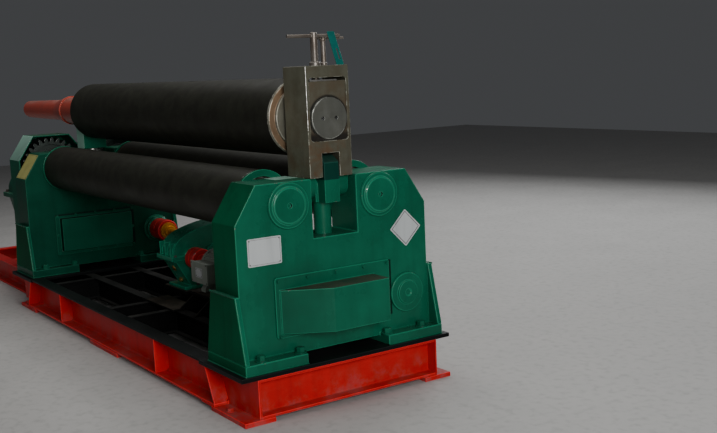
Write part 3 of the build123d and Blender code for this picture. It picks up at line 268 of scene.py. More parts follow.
# %% [markdown]
# ## Finishes
# The side frames have a teal machine enamel, the base a red one, and the deck and the pit under it a nearly black
# one. Some teal finishes are painted light and shade: a darker, duller copy is painted shade on the flanks and on
# the far frame, a pale copy is a painted highlight on a few faces that catch the light, a lighter copy is painted
# light on the lift reducer, and a nearly black one is painted shadow in gaps, holes and the screw's slot, so each of
# these is a finish of its own. Enamel is a semi-gloss coat: its colour goes slightly darker and lighter in clouds,
# dust dulls what looks up, every bevelled edge is painted lighter as a highlight, the metal shows where edges are
# rubbed, and small chips show through. The rolls are forged, turned once and left dark with scale and oil, and their
# faced ends carry a painted sheen. The tilting housing is machined steel under a brown film of oil; a lighter copy is
# painted light on its side, a glint is painted on one corner, and its window has a painted shadow round the cap.


# %% Enamel over metal
def group_node(tree, group, **values):
    return filled(put(tree, "ShaderNodeGroup", node_tree=group), **values).outputs


def blend_colour(tree, mask, first, second):
    node = put(tree, "ShaderNodeMix", data_type="RGBA")
    tree.links.new(mask, node.inputs["Factor"])
    for name, value in (("A", first), ("B", second)):
        socket = next(s for s in node.inputs if s.name == name and s.type == "RGBA")
        if isinstance(value, tuple):
            socket.default_value = (*value, 1)
        else:
            tree.links.new(value, socket)
    return next(s for s in node.outputs if s.type == "RGBA")


def laid(tree, body, group, amount, colour):
    """The body with a colour laid over it where the group's mask says."""
    return blend_colour(tree, group_node(tree, group, Amount=amount)["Mask"], body, colour)


def new_material(name):
    material = bpy.data.materials.new(name)
    material.use_nodes = True
    return material, material.node_tree, material.node_tree.nodes["Principled BSDF"].inputs


def bumped(tree, shader, height, strength, distance):
    bump = filled(put(tree, "ShaderNodeBump"), Strength=strength, Distance=distance)
    tree.links.new(height, bump.inputs["Height"])
    tree.links.new(bump.outputs["Normal"], shader["Normal"])


def scaled(colour, factor, added=0.0):
    return tuple(v * factor + added for v in colour)


DUST = (0.23, 0.215, 0.185)
BARE = (0.34, 0.32, 0.29)
RUST = (0.115, 0.052, 0.018)
CAP_SHADE_TINT = (0.006, 0.005, 0.004)


def enamel(name, colour, gloss=0.3, dusty=0.1, worn=0.3, depth=0.35, peel=0.12, dirt=0.0, chip=0.5, powder=DUST,
           shine=0.13):
    material, tree, shader = new_material(name)
    shader["Specular IOR Level"].default_value = shine
    coat = group_node(tree, cloud)
    lying = group_node(tree, dust, Amount=dusty)
    edge = group_node(tree, rubbed, Amount=worn)
    body = blend_colour(tree, coat["Tone"], scaled(colour, 1 - depth), scaled(colour, 1 + depth * 0.5))
    body = blend_colour(tree, times(tree, coat["Runs"], 0.3), body, scaled(colour, 0.45))
    bare = times(tree, coat["Chips"], chip)
    body = blend_colour(tree, bare, body, scaled(colour, 0.5, 0.02))
    body = blend_colour(tree, lying["Mask"], body, powder)
    if dirt:
        body = laid(tree, body, splash, dirt, DUST)
    # painted highlight: every bevel face is painted lighter, standing in for the line of light along an edge
    body = blend_colour(tree, times(tree, edge["Rim"], 0.6), body, scaled(colour, 1.9, 0.012))
    body = blend_colour(tree, edge["Mask"], body, BARE)
    tree.links.new(body, shader["Base Color"])
    rough = maths(tree, "ADD", times(tree, coat["Tone"], 0.12), gloss)
    rough = maths(tree, "ADD", rough, times(tree, lying["Mask"], 0.45), True)
    tree.links.new(rough, shader["Roughness"])
    tree.links.new(times(tree, edge["Mask"], 0.8), shader["Metallic"])
    height = maths(tree, "SUBTRACT", coat["Grain"], times(tree, bare, 1.5))
    bumped(tree, shader, height, peel, 0.0006)
    return material


TEAL = enamel("teal_enamel", (0.0014, 0.118, 0.062), gloss=0.22, shine=0.2)
# painted shade: a darker, duller copy of the teal for the flanks, which get less light
TEAL_SHADE_FLANK = enamel("teal_enamel_painted_shade_flank", (0.001, 0.084, 0.036), gloss=0.4, dusty=0.05, shine=0.015)
# painted shade: a darker copy of the teal for the far frame, which stands deeper in the room
TEAL_SHADE_FAR = enamel("teal_enamel_painted_shade_far", (0.0012, 0.07, 0.038), gloss=0.32, shine=0.1)
# painted shadow: a nearly black teal for gaps, holes and strips where shade falls
TEAL_SHADOW = enamel("painted_shadow_enamel", (0.0012, 0.018, 0.011), gloss=0.45, worn=0.1)
DUSTY_TEAL = enamel("dusty_enamel", (0.01, 0.06, 0.036), gloss=0.5, dusty=0.9, powder=(0.075, 0.07, 0.045))
# painted light: a lighter copy of the teal for the lift reducer, which sits in the machine's shade
TEAL_LIT = enamel("teal_enamel_painted_light", (0.0022, 0.25, 0.135), gloss=0.22, dusty=0.15, shine=0.25)
TEAL_DARK = enamel("teal_enamel_cases", (0.0014, 0.088, 0.047), gloss=0.32, dusty=0.25)
# painted highlight: a pale teal for faces that catch the light
TEAL_HIGHLIGHT = enamel("teal_enamel_painted_highlight", (0.3, 0.52, 0.42), gloss=0.4, dusty=0.2)
# painted shadow: a dark teal for the lift screw's head where it stands back in the slot
TEAL_SLOT_SHADOW = enamel("teal_enamel_painted_shadow", (0.0015, 0.036, 0.025))
TEAL_BLUE = enamel("stay_enamel", (0.0014, 0.118, 0.1), gloss=0.32, worn=0.4)
RED = enamel("red_enamel", (0.56, 0.011, 0.013), gloss=0.36, dusty=0.12, worn=0.2, depth=0.22, dirt=0.4, chip=0.6)
DECK = enamel("deck_enamel", (0.004, 0.005, 0.005), gloss=0.42, dusty=0.12, worn=0.2, powder=(0.05, 0.05, 0.045))
PIT = enamel("pit_enamel", (0.003, 0.003, 0.003), gloss=0.5, dusty=0.6, worn=0.25, powder=(0.1, 0.097, 0.088))
STAND = enamel("stand_enamel", (0.006, 0.006, 0.005), gloss=0.5, dusty=0.8, powder=(0.15, 0.125, 0.095))
GREY = enamel("motor_enamel", (0.27, 0.3, 0.255), gloss=0.36, dusty=0.3, depth=0.2, shine=0.25)
COUPLING_RED = enamel("coupling_enamel", (0.56, 0.02, 0.022), gloss=0.28, worn=0.4, depth=0.25)
SHAFT_YELLOW = enamel("shaft_enamel", (0.56, 0.22, 0.008), gloss=0.25, depth=0.2, shine=0.25)
# the heavy dust on the tail's top stands for both dust and a painted highlight along it
TAIL_RED = enamel("tail_enamel", (0.46, 0.06, 0.036), shine=0.3, dusty=0.65, worn=0.5, depth=0.3)
WHITE_PLATE = enamel("plate_white", (0.52, 0.54, 0.54), dusty=0.2, worn=0.2, depth=0.08, chip=0.25, shine=0.3)
YELLOW_PLATE = enamel("plate_yellow", (0.42, 0.4, 0.13), gloss=0.35, dusty=0.3, depth=0.15, shine=0.3)
PLATE_LINE = enamel("plate_line", (0.05, 0.02, 0.02), gloss=0.35, worn=0.0)
print("enamels", [m.name for m in bpy.data.materials])


# %% Steel finishes
def steel(name, colour, second, gloss=0.3, metal=0.9, ring=0.0, dusty=0.0, face=False, rust=0.0, cap_shadow=0.0,
          shine=0.5):
    material, tree, shader = new_material(name)
    coat = group_node(tree, cloud)
    edge = group_node(tree, rubbed, Amount=0.7)
    height, strength = coat["Grain"], 0.15
    body = blend_colour(tree, times(tree, coat["Blotch"], 0.6), colour, second)
    if ring:
        lathe = group_node(tree, rings)
        height, strength = lathe["Height"], 0.15 + ring
        body = blend_colour(tree, times(tree, lathe["Band"], 0.35), body, scaled(colour, 0.6))
    for group, amount, tint in ((foxing, rust, RUST), (cap_shade, cap_shadow, CAP_SHADE_TINT), (dust, dusty, DUST)):
        if amount:
            body = laid(tree, body, group, amount, tint)
    body = blend_colour(tree, times(tree, coat["Runs"], 0.35), body, scaled(second, 0.55))
    body = blend_colour(tree, edge["Mask"], body, scaled(colour, 1.6, 0.1))
    shader["Metallic"].default_value = metal
    shader["Specular IOR Level"].default_value = shine
    rough = maths(tree, "ADD", times(tree, coat["Tone"], 0.18), gloss)
    if face:
        end = group_node(tree, faced)
        height, strength = end["Height"], 0.35
        # painted sheen: sectors round the axis turn darker, standing in for how a faced end reflects light
        body = blend_colour(tree, times(tree, end["Shine"], 0.5), body, scaled(colour, 0.55))
    bumped(tree, shader, height, strength, 0.0005)
    tree.links.new(body, shader["Base Color"])
    tree.links.new(rough, shader["Roughness"])
    return material


ROLL_SKIN = steel("roll_scale", (0.027, 0.028, 0.0195), (0.014, 0.012, 0.0095), gloss=0.42, metal=0.12, ring=0.25,
                  shine=0.15)
ROLL_FACE = steel("roll_end_steel", (0.26, 0.165, 0.095), (0.16, 0.095, 0.05), metal=0.4, face=True)
COLLAR = steel("collar_steel", (0.21, 0.2, 0.155), (0.13, 0.115, 0.08), metal=0.45, face=True)
OILED = steel("oiled_steel", (0.11, 0.11, 0.078), (0.072, 0.06, 0.036), gloss=0.36, metal=0.4, dusty=0.1, rust=0.6)
# painted light: a lighter copy of the oiled steel for the housing's side that faces -Y
OILED_LIT_SIDE = steel("oiled_steel_painted_light", (0.15, 0.15, 0.105), (0.1, 0.092, 0.056), gloss=0.4, metal=0.3, rust=0.35)
# painted shade: a nearly black steel in and round holes
BORE_SHADE = steel("blind_bore_painted_shade", (0.012, 0.012, 0.01), (0.008, 0.007, 0.006), gloss=0.5, metal=0.2)
# painted shadow: the window steel is darkened round the bearing cap and under it, where shade falls; its rust is real
WINDOW_STEEL = steel("window_steel", (0.105, 0.098, 0.068), (0.082, 0.057, 0.03), gloss=0.4, metal=0.4, rust=0.9,
                     cap_shadow=0.95)
BRIGHT = steel("bright_steel", (0.5, 0.49, 0.46), (0.32, 0.3, 0.27), gloss=0.2)
RUSTY = steel("browned_steel", (0.23, 0.205, 0.18), (0.13, 0.092, 0.066), metal=0.65)
CAP_STEEL = steel("cap_steel", (0.175, 0.178, 0.155), (0.12, 0.118, 0.098), metal=0.6, face=True)
GEAR_STEEL = steel("gear_steel", (0.075, 0.09, 0.08), (0.03, 0.036, 0.032), metal=0.7)
BOLT_STEEL = steel("bolt_steel", (0.16, 0.155, 0.145), (0.08, 0.062, 0.045), gloss=0.36, metal=0.8)
BRASS = steel("brass", (0.55, 0.38, 0.13), (0.33, 0.2, 0.07))
GLASS = enamel("oil_glass", (0.16, 0.07, 0.012), gloss=0.06, worn=0.0, peel=0.02, chip=0.0, shine=0.5)
FLOOR = enamel("pale_floor", (0.46, 0.45, 0.435), gloss=0.6, dusty=0.0, worn=0.0, depth=0.06, peel=0.05, chip=0.0)
floor_mesh.materials.append(FLOOR)
print("materials", len(bpy.data.materials))

# %% [markdown]
# ## Soft edges on every plate and casting
# No real edge is perfectly sharp: plates are ground and paint rounds them, and the thin line of light along an edge
# is what makes steel look heavy. A copy of each CAD solid has its loose triangles merged, its sharp edges bevelled,
# by half a millimetre on a ground block and up to five on the frames, and the bevel faces marked in the attribute
# rim, which the finishes use for worn edges and the enamels also for a painted highlight. The copy stands for the
# node. Where one solid has more than one finish, such as a red beam whose inner side was left black, or a face that
# carries painted light or shade, its faces are cut where the finish changes, and a small rule gives each face its
# finish by where it lies and which way it looks.


# %% A copy of a CAD node with soft edges
SMOOTH_BELOW, SHARP_ABOVE = 32.0, 35.0


def finish_shading(mesh, angle=SMOOTH_BELOW):
    mesh.shade_smooth()
    mesh.set_sharp_from_angle(angle=math.radians(angle))


def keep_result(piece):
    """Put what the modifiers make of a piece in place of its mesh."""
    result = bpy.data.meshes.new_from_object(piece.evaluated_get(bpy.context.evaluated_depsgraph_get()))
    piece.modifiers.clear()
    old, piece.data = piece.data, result
    bpy.data.meshes.remove(old)


def mesh_of(shape, name):
    mesh = bpy.data.meshes.new(name)
    shape.to_mesh(mesh)
    shape.free()
    return mesh


def add_piece(name, mesh, body, finishes):
    piece = in_scene(name, mesh)
    chosen = [face.material_index for face in mesh.polygons]
    mesh.materials.clear()
    for finish in finishes:
        mesh.materials.append(finish)
    mesh.polygons.foreach_set("material_index", chosen)
    finish_shading(mesh)
    piece.modifiers.new("even shading", "WEIGHTED_NORMAL").keep_sharp = True
    keep_result(piece)
    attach(piece, body)
    return piece


def soften(shape, width):
    """Bevel the sharp edges, and put back any corner that the bevel threw off the solid's surface."""
    surface = BVHTree.FromBMesh(shape)
    limit = math.radians(SHARP_ABOVE)
    crisp = [e for e in shape.edges if len(e.link_faces) == 2 and e.calc_face_angle(0.0) > limit]
    made = bmesh.ops.bevel(shape, geom=crisp, offset=width, offset_type="OFFSET", segments=2, profile=0.5,
                           affect="EDGES", clamp_overlap=False)
    layer = shape.loops.layers.float.new("rim")
    for face in made["faces"]:
        for corner in face.loops:
            corner[layer] = 1.0
    for vert in shape.verts:
        place, _, _, off = surface.find_nearest(vert.co)
        if off > width * 0.8:
            vert.co = place


def soft_copy(node, finishes, choose, width, split_at):
    mesh = frame["nodes"][node].data.copy()
    mesh.name = "soft_" + node
    shape = bmesh.new()
    shape.from_mesh(mesh)
    bmesh.ops.remove_doubles(shape, verts=shape.verts, dist=0.00002)
    bmesh.ops.dissolve_limit(shape, angle_limit=math.radians(0.6), verts=shape.verts, edges=shape.edges)
    soften(shape, width)
    for place, way in split_at:
        whole = list(shape.verts) + list(shape.edges) + list(shape.faces)
        bmesh.ops.bisect_plane(shape, geom=whole, plane_co=place, plane_no=way)
    for face in shape.faces:
        face.material_index = choose(face.calc_center_median(), face.normal) if choose else 0
    shape.to_mesh(mesh)
    shape.free()
    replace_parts(add_piece("soft_" + node, mesh, BODY_OF[node], finishes), node)


# %% Rules for solids with more than one finish
# A rule gives the place of a face's finish in its solid's list. SPLIT cuts faces at some of the places named here.
DECK_FROM, WEB_FACE, PIT_END = 0.2095, 0.4935, 1.65
RIM_X, END_X, COLLAR_X = (1.374, 1.3815), (1.3815, 1.3825), (1.3825, 1.3975)
# above this height the lift screw's head is painted shadow in the slot
HEAD_TOP = 1.036
# the housing's paint ends at the first height, and above the second its corner carries a painted glint
HOUSING_FOOT, GLINT_FROM = 1.048, 1.27
# the patch of painted highlight on the frame's top beside the notch
HIGHLIGHT_X, HIGHLIGHT_Y = 1.53, (-0.25, -0.12)
# the strip of painted shadow beside the near worm gear cover
SHADOW_Y, SHADOW_Z = (0.289, 0.304), (0.35, 0.62)
# beyond these places, and on its edges, the far worm gear cover is painted shadow
FAR_COVER_END, FAR_COVER_TOP = 0.2, 0.615


def between(value, limits):
    return limits[0] < value < limits[1]


def side_beam_paint(centre, normal):
    """Red outside, the deck's black on the deck plate, the pit's black on the inner side."""
    if centre.z > DECK_FROM:
        return 1
    return 2 if abs(centre.x) < PIT_END and abs(centre.y) < WEB_FACE and normal.y * centre.y < 0 else 0


def end_beam_paint(centre, normal):
    return 1 if normal.x * centre.x < -0.5 and abs(centre.x) < PIT_END + 0.002 else 0


def upper_roll_finish(centre, normal):
    """Scale on the body, bare steel on the end, collar steel on the collar and on the body's rounded rim."""
    beyond = abs(centre.x)
    if between(beyond, COLLAR_X):
        return 2
    if between(beyond, END_X):
        return 1
    return 2 if between(beyond, RIM_X) and 0.5 < abs(normal.x) < 0.9 else 0


# painted highlight on the gear case's chamfer that looks up and toward -Y
def gear_case_paint(centre, normal):
    return 1 if normal.y < -0.3 and normal.z > 0.3 else 0


def housing_finish(centre, normal):
    """Paint on the foot, a lighter, greyer copy of the steel painted as light on the side, and a painted glint high
    on the corner between the side and the front.
    """
    if centre.z < HOUSING_FOOT:
        return 1
    if normal.y < -0.9 and centre.y < -0.1:
        return 2
    corner = normal.y < -0.2 and normal.x > 0.2 and centre.y < -0.1
    return 3 if corner and centre.z > GLINT_FROM else 0


def frame_paint(centre, normal):
    """Painted shade on the flank, a painted highlight on the top beside the notch, and a painted shadow in a strip
    beside the worm gear cover.
    """
    if centre.z > 1.046 and normal.z > 0.3 and 1.4 < centre.x < HIGHLIGHT_X and between(centre.y, HIGHLIGHT_Y):
        return 2
    if normal.x > 0.9 and between(centre.y, SHADOW_Y) and between(centre.z, SHADOW_Z):
        return 3
    return 1 if normal.y < -0.5 and centre.y < -0.4 else 0


def near_cover_paint(centre, normal):
    return 1 if normal.z > 0.7 and centre.z < 0.6 else 0


# painted shade inside the centre hole of each bearing cover
def bearing_cover_paint(centre, normal):
    in_hole = math.hypot(abs(centre.y) - HALF_SPAN, centre.z - LOWER_Z) < 0.017
    return 1 if in_hole and abs(normal.x) < 0.9 else 0


# painted shadow on the far cover's edges, on its strip beside the hub and along its top
def far_cover_paint(centre, normal):
    return 1 if abs(normal.x) < 0.3 or centre.y > FAR_COVER_END or centre.z > FAR_COVER_TOP else 0


# painted shade in and round the cap's two holes
def cap_finish(centre, normal):
    holes = [math.hypot(centre.y - side * 0.036, centre.z - UPPER_Z) for side in (-1, 1)]
    return 1 if min(holes) < 0.0095 else 0


# painted shadow on the lift screw's head above where it stands back in the slot
def screw_head_paint(centre, normal):
    return 1 if centre.z > HEAD_TOP else 0


# painted highlight on the far bearing block's side that faces -Y
def far_block_paint(centre, normal):
    return 1 if normal.y < -0.9 and centre.y < -0.075 else 0


FINISH = {
    "teal_paint": TEAL, "base_paint": RED, "deck_paint": DECK, "roll_steel": ROLL_SKIN, "oiled_steel": OILED,
    "bright_steel": BRIGHT, "shaft_paint": SHAFT_YELLOW, "coupling_red": COUPLING_RED, "motor_grey": GREY,
    "gear_steel": GEAR_STEEL, "tail_red": TAIL_RED}
OWN_FINISH = {
    "base_side_beams": ([RED, DECK, PIT], side_beam_paint), "base_end_beams": ([RED, PIT], end_beam_paint),
    "near_frame": ([TEAL, TEAL_SHADE_FLANK, TEAL_HIGHLIGHT, TEAL_SHADOW], frame_paint),
    "frame_side_gussets": ([TEAL, TEAL_SHADE_FLANK], frame_paint),
    "near_worm_cover": ([TEAL, DUSTY_TEAL], near_cover_paint),
    "near_bearing_covers": ([TEAL, TEAL_SHADOW], bearing_cover_paint),
    "far_worm_cover": ([TEAL_DARK, TEAL_SHADOW], far_cover_paint),
    "far_bearing_block": ([TEAL, TEAL_HIGHLIGHT], far_block_paint),
    "gear_case": ([TEAL_DARK, TEAL_HIGHLIGHT], gear_case_paint),
    "upper_roll": ([ROLL_SKIN, ROLL_FACE, COLLAR], upper_roll_finish),
    "tilt_housing": ([OILED, TEAL, OILED_LIT_SIDE, BRIGHT], housing_finish),
    "tilt_bearing_cap": ([CAP_STEEL, BORE_SHADE], cap_finish),
    "near_lift_screw": ([TEAL, TEAL_SLOT_SHADOW], screw_head_paint)}
# the far frame's teal is darkened as painted shade, the lift reducer's lightened as painted light, and the bearing
# block's steel carries a painted shadow round the cap
for node, finish in (("base_cross_beams", PIT), ("lift_stand", STAND), ("main_reducer", TEAL_DARK),
                     ("lift_reducer", TEAL_LIT), ("far_frame", TEAL_SHADE_FAR), ("tilt_bearing_block", WINDOW_STEEL),
                     ("tee_stay", TEAL_BLUE), ("tee_screw", RUSTY), ("small_tee_screw", RUSTY)):
    OWN_FINISH[node] = ([finish], None)
EDGE_WIDTHS = {
    0.0006: ["tilt_bearing_block"],
    0.001: ["drive_pinion", "front_roll_gear", "rear_roll_gear", "lift_motor", "main_motor", "tee_screw",
            "small_tee_screw", "tee_stay"],
    0.0015: ["lift_shafts"], 0.003: ["tilt_housing"],
    0.004: ["far_frame", "near_worm_cover", "near_bearing_covers"], 0.005: ["near_frame", "frame_side_gussets"]}
EDGE = {node: width for width, nodes in EDGE_WIDTHS.items() for node in nodes}
USUAL_EDGE = 0.0025


def planes(**cuts):
    """The planes across x, y or z at the given places, as a point and a direction each."""
    ways = {"x": Vector((1, 0, 0)), "y": Vector((0, 1, 0)), "z": Vector((0, 0, 1))}
    return [(ways[axis] * place, ways[axis]) for axis, places in cuts.items() for place in places]


SPLIT = {"near_lift_screw": planes(z=[HEAD_TOP]), "tilt_housing": planes(z=[HOUSING_FOOT, GLINT_FROM]),
         "far_worm_cover": planes(y=[FAR_COVER_END], z=[FAR_COVER_TOP]),
         "near_frame": planes(y=HIGHLIGHT_Y + SHADOW_Y, z=SHADOW_Z, x=[HIGHLIGHT_X]),
         "base_side_beams": planes(x=[-PIT_END, PIT_END])}
for node in BODY_OF:
    finishes, choose = OWN_FINISH.get(node, ([FINISH[SLOT_OF[node]]], None))
    soft_copy(node, finishes, choose, EDGE.get(node, USUAL_EDGE), SPLIT.get(node, ()))

# %% [markdown]
# ## Bolts, rivets, welds and threads from Geometry Nodes
# A machine like this has well over a hundred bolt heads. Each sort is one small tree: points with a direction go
# in, a head is put on each point and turned so that it stands on its face, and a seeded random spin keeps the
# hexagons from lining up. Welds are a bead drawn along the edge where two plates meet, with a ripple from step to
# step, and a screw thread is a spiral. Sizes are named inputs, so one tree serves every size.


# %% Helpers for growing trees
def grow_tree(name, **inputs):
    tree = bpy.data.node_groups.new(name, "GeometryNodeTree")
    tree.interface.new_socket("Geometry", in_out="INPUT", socket_type="NodeSocketGeometry")
    for label, value in inputs.items():
        kind = "NodeSocketInt" if isinstance(value, int) else "NodeSocketFloat"
        tree.interface.new_socket(label, in_out="INPUT", socket_type=kind).default_value = value
    tree.interface.new_socket("Finish", in_out="INPUT", socket_type="NodeSocketMaterial")
    tree.interface.new_socket("Geometry", in_out="OUTPUT", socket_type="NodeSocketGeometry")
    return tree, tree.nodes.new("NodeGroupInput").outputs


def grow(tree, kind, settings=None, **values):
    node = put(tree, kind, **(settings or {}))
    for key, value in values.items():
        socket = next(s for s in node.inputs if s.enabled and s.name == key.replace("_", " "))
        if isinstance(value, bpy.types.NodeSocket):
            tree.links.new(value, socket)
        else:
            socket.default_value = value
    return next(s for s in node.outputs if s.enabled)


def raised(tree, geometry, height):
    place = grow(tree, "ShaderNodeCombineXYZ", Z=height)
    return grow(tree, "GeometryNodeTransform", Geometry=geometry, Translation=place)


def marked(tree, name):
    return grow(tree, "GeometryNodeInputNamedAttribute", {"data_type": "FLOAT_VECTOR"}, Name=name)


def standing(tree):
    """A rotation that turns Z to the direction kept in the attribute facing."""
    return grow(tree, "FunctionNodeAlignRotationToVector", {"axis": "Z"}, Vector=marked(tree, "facing"))


def joined(tree, *parts):
    node = put(tree, "GeometryNodeJoinGeometry")
    for part in parts:
        tree.links.new(part, node.inputs[0])
    return node.outputs[0]


def end_tree(tree, given, geometry):
    real = grow(tree, "GeometryNodeRealizeInstances", Geometry=geometry)
    dressed = grow(tree, "GeometryNodeSetMaterial", Geometry=real, Material=given["Finish"])
    tree.links.new(dressed, tree.nodes.new("NodeGroupOutput").inputs[0])
    print("tree", tree.name, "nodes", len(tree.nodes))


def end_on_points(tree, given, instance, **turned_by):
    end_tree(tree, given, grow(tree, "GeometryNodeInstanceOnPoints", Points=given["Geometry"], Instance=instance,
                               **turned_by))


def grown_piece(name, start, tree, body, sizes, angle=SMOOTH_BELOW):
    """Run a tree on a starting mesh and keep what it makes as one plain mesh."""
    piece = in_scene(name, start)
    modifier = piece.modifiers.new(tree.name, "NODES")
    modifier.node_group = tree
    for item in tree.interface.items_tree:
        if item.in_out == "INPUT" and item.name in sizes:
            modifier[item.identifier] = sizes[item.name]
    piece.update_tag()
    keep_result(piece)
    finish_shading(piece.data, angle)
    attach(piece, body)


# %% Tree: hexagon bolt heads on washers
bolt, given = grow_tree("hex_bolts", Across=0.03, Height=0.016, Washer=0.026, Seed=4)
corner = times(bolt, given["Across"], 0.577)
thick = times(bolt, given["Washer"], 0.14)
head = grow(bolt, "GeometryNodeMeshCylinder", Vertices=6, Radius=corner, Depth=given["Height"])
head = raised(bolt, head, maths(bolt, "ADD", times(bolt, given["Height"], 0.5), thick))
crown = grow(bolt, "GeometryNodeMeshCone", Vertices=6, Radius_Top=times(bolt, corner, 0.84),
             Radius_Bottom=corner, Depth=times(bolt, given["Height"], 0.16))
crown = raised(bolt, crown, maths(bolt, "ADD", given["Height"], thick))
ring = grow(bolt, "GeometryNodeMeshCylinder", Vertices=20, Radius=given["Washer"], Depth=thick)
ring = raised(bolt, ring, times(bolt, thick, 0.5))
spin = grow(bolt, "FunctionNodeRandomValue", {"data_type": "FLOAT"}, Min=0.0, Max=1.047, Seed=given["Seed"])
turn = grow(bolt, "FunctionNodeAxisAngleToRotation", Axis=(0, 0, 1), Angle=spin)
stand = grow(bolt, "FunctionNodeRotateRotation", {"rotation_space": "LOCAL"}, Rotation=standing(bolt),
             Rotate_By=turn)
end_on_points(bolt, given, joined(bolt, ring, head, crown), Rotation=stand)

# %% Tree: round rivet heads
rivet, given = grow_tree("round_rivets", Radius=0.003, Height=0.0016)
dome = grow(rivet, "GeometryNodeMeshUVSphere", Segments=14, Rings=8, Radius=given["Radius"])
flat = grow(rivet, "ShaderNodeCombineXYZ", X=1.0, Y=1.0,
            Z=maths(rivet, "DIVIDE", given["Height"], given["Radius"]))
dome = grow(rivet, "GeometryNodeTransform", Geometry=dome, Scale=flat)
end_on_points(rivet, given, dome, Rotation=standing(rivet))

# %% Tree: slots and bars, turned by the attributes facing and along
slots, given = grow_tree("slots", Length=0.03, Width=0.004, Depth=0.001)
size = grow(slots, "ShaderNodeCombineXYZ", X=given["Length"], Y=given["Width"], Z=given["Depth"])
bar = grow(slots, "GeometryNodeMeshCube", Size=size)
stand = grow(slots, "FunctionNodeAlignRotationToVector", {"axis": "X", "pivot_axis": "Z"},
             Rotation=standing(slots), Vector=marked(slots, "along"))
end_on_points(slots, given, bar, Rotation=stand)

# %% Tree: a weld bead along edges
weld, given = grow_tree("weld_beads", Size=0.005, Step=0.005, Seed=9)
line = grow(weld, "GeometryNodeMeshToCurve", Mesh=given["Geometry"])
line = grow(weld, "GeometryNodeResampleCurve", {"mode": "LENGTH"}, Curve=line, Length=given["Step"])
ripple = grow(weld, "FunctionNodeRandomValue", {"data_type": "FLOAT"}, Min=0.78, Max=1.12, Seed=given["Seed"])
section = grow(weld, "GeometryNodeCurvePrimitiveCircle", Resolution=7, Radius=given["Size"])
bead = grow(weld, "GeometryNodeCurveToMesh", Curve=line, Profile_Curve=section, Scale=ripple, Fill_Caps=True)
end_tree(weld, given, bead)

# %% Tree: a screw thread as a spiral ridge
thread, given = grow_tree("screw_thread", Radius=0.0385, Pitch=0.012, Turns=20.0, Ridge=0.0035)
spiral = grow(thread, "GeometryNodeCurveSpiral", Resolution=28, Rotations=given["Turns"],
              Start_Radius=given["Radius"], End_Radius=given["Radius"],
              Height=times(thread, given["Pitch"], given["Turns"]))
section = grow(thread, "GeometryNodeCurvePrimitiveCircle", Resolution=6, Radius=given["Ridge"])
ridge = grow(thread, "GeometryNodeCurveToMesh", Curve=spiral, Profile_Curve=section, Fill_Caps=True)
end_on_points(thread, given, ridge)


# %% Pieces that the trees make
def turns_of(count):
    return [2 * math.pi * k / count for k in range(count)]


def marked_points(places, **marks):
    mesh = bpy.data.meshes.new("points")
    mesh.from_pydata([tuple(p) for p in places], [], [])
    for name, ways in marks.items():
        layer = mesh.attributes.new(name, "FLOAT_VECTOR", "POINT")
        for at, way in enumerate(ways):
            layer.data[at].vector = way
    return mesh


def bolts_on(name, places, facing, across, finish=BOLT_STEEL, height=0.55):
    """Bolt heads by their size across flats, and their height as a share of it."""
    ways = facing if isinstance(facing, list) else [facing] * len(places)
    sizes = {"Across": across, "Height": height * across, "Washer": 0.8 * across, "Finish": finish}
    grown_piece(name, marked_points(places, facing=ways), bolt, "frame", sizes, 25.0)


def rivets_on(name, places, facing, radius, finish=BOLT_STEEL):
    sizes = {"Radius": radius, "Height": 0.55 * radius, "Finish": finish}
    grown_piece(name, marked_points(places, facing=[facing] * len(places)), rivet, "frame", sizes)


def welds_on(name, seams, size, finish=TEAL):
    mesh = bpy.data.meshes.new("seams")
    points, edges = [], []
    for seam in seams:
        edges += [(len(points) + k, len(points) + k + 1) for k in range(len(seam) - 1)]
        points += seam
    mesh.from_pydata(points, edges, [])
    sizes = {"Size": size, "Step": 0.006, "Finish": finish}
    grown_piece(name, mesh, weld, "frame", sizes, 60.0)


def mirrored(places, *signs):
    return [tuple(v * s for v, s in zip(p, sign)) for sign in signs for p in places]


ALL_FOUR = ((1, 1, 1), (-1, 1, 1), (1, -1, 1), (-1, -1, 1))
TO_END, TO_DRIVE, UP = (1, 0, 0), (-1, 0, 0), (0, 0, 1)
print("helpers ready")

# %% [markdown]
# ## Bolts where the real machine has them
# The side frames stand on big foot bolts, thick M24 heads on washers. Covers and gear units have smaller ones, and
# the base is held to the floor by four anchors. Heads on painted covers are painted over with them, and the ones
# that a spanner turns often stay bare. The places come from the CAD values, and the mirrored ones from symmetry.

# %% Foot and anchor bolts
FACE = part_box("near_worm_cover")[0][0]
COVER_RIM = FACE + 0.010
FOOT_TOP = 0.27
feet = mirrored([(FRAME_X + dx, y, FOOT_TOP) for dx in (-0.148, 0.148) for y in (0.245, 0.45)], *ALL_FOUR)
bolts_on("foot_bolts", feet, UP, 0.036, TEAL)
anchors = mirrored([(FRAME_X, 0.545, 0.022)], *ALL_FOUR)
bolts_on("anchor_nuts", anchors, UP, 0.026, RED, height=0.4)
print("outer face of the near frame at", round(FACE, 4))

# %% Cover bolts, painted over
near_rim = [(COVER_RIM, y, z) for z in (0.6085, 0.3525) for y in (-0.33, -0.175, -0.02, 0.135, 0.272)]
near_rim += [(COVER_RIM, 0.272, 0.48)]
bolts_on("near_cover_bolts", near_rim, TO_END, 0.013, TEAL)
FAR_RIM = -1.3975
far_rim = [(FAR_RIM, y, z) for y in (-0.33, -0.2, -0.06, 0.08, 0.21) for z in (0.355, 0.612)]
far_rim += [(FAR_RIM, y, 0.483) for y in (-0.33, 0.21)]
bolts_on("far_cover_bolts", far_rim, TO_END, 0.013, TEAL)
print("cover bolts", len(near_rim) + len(far_rim))

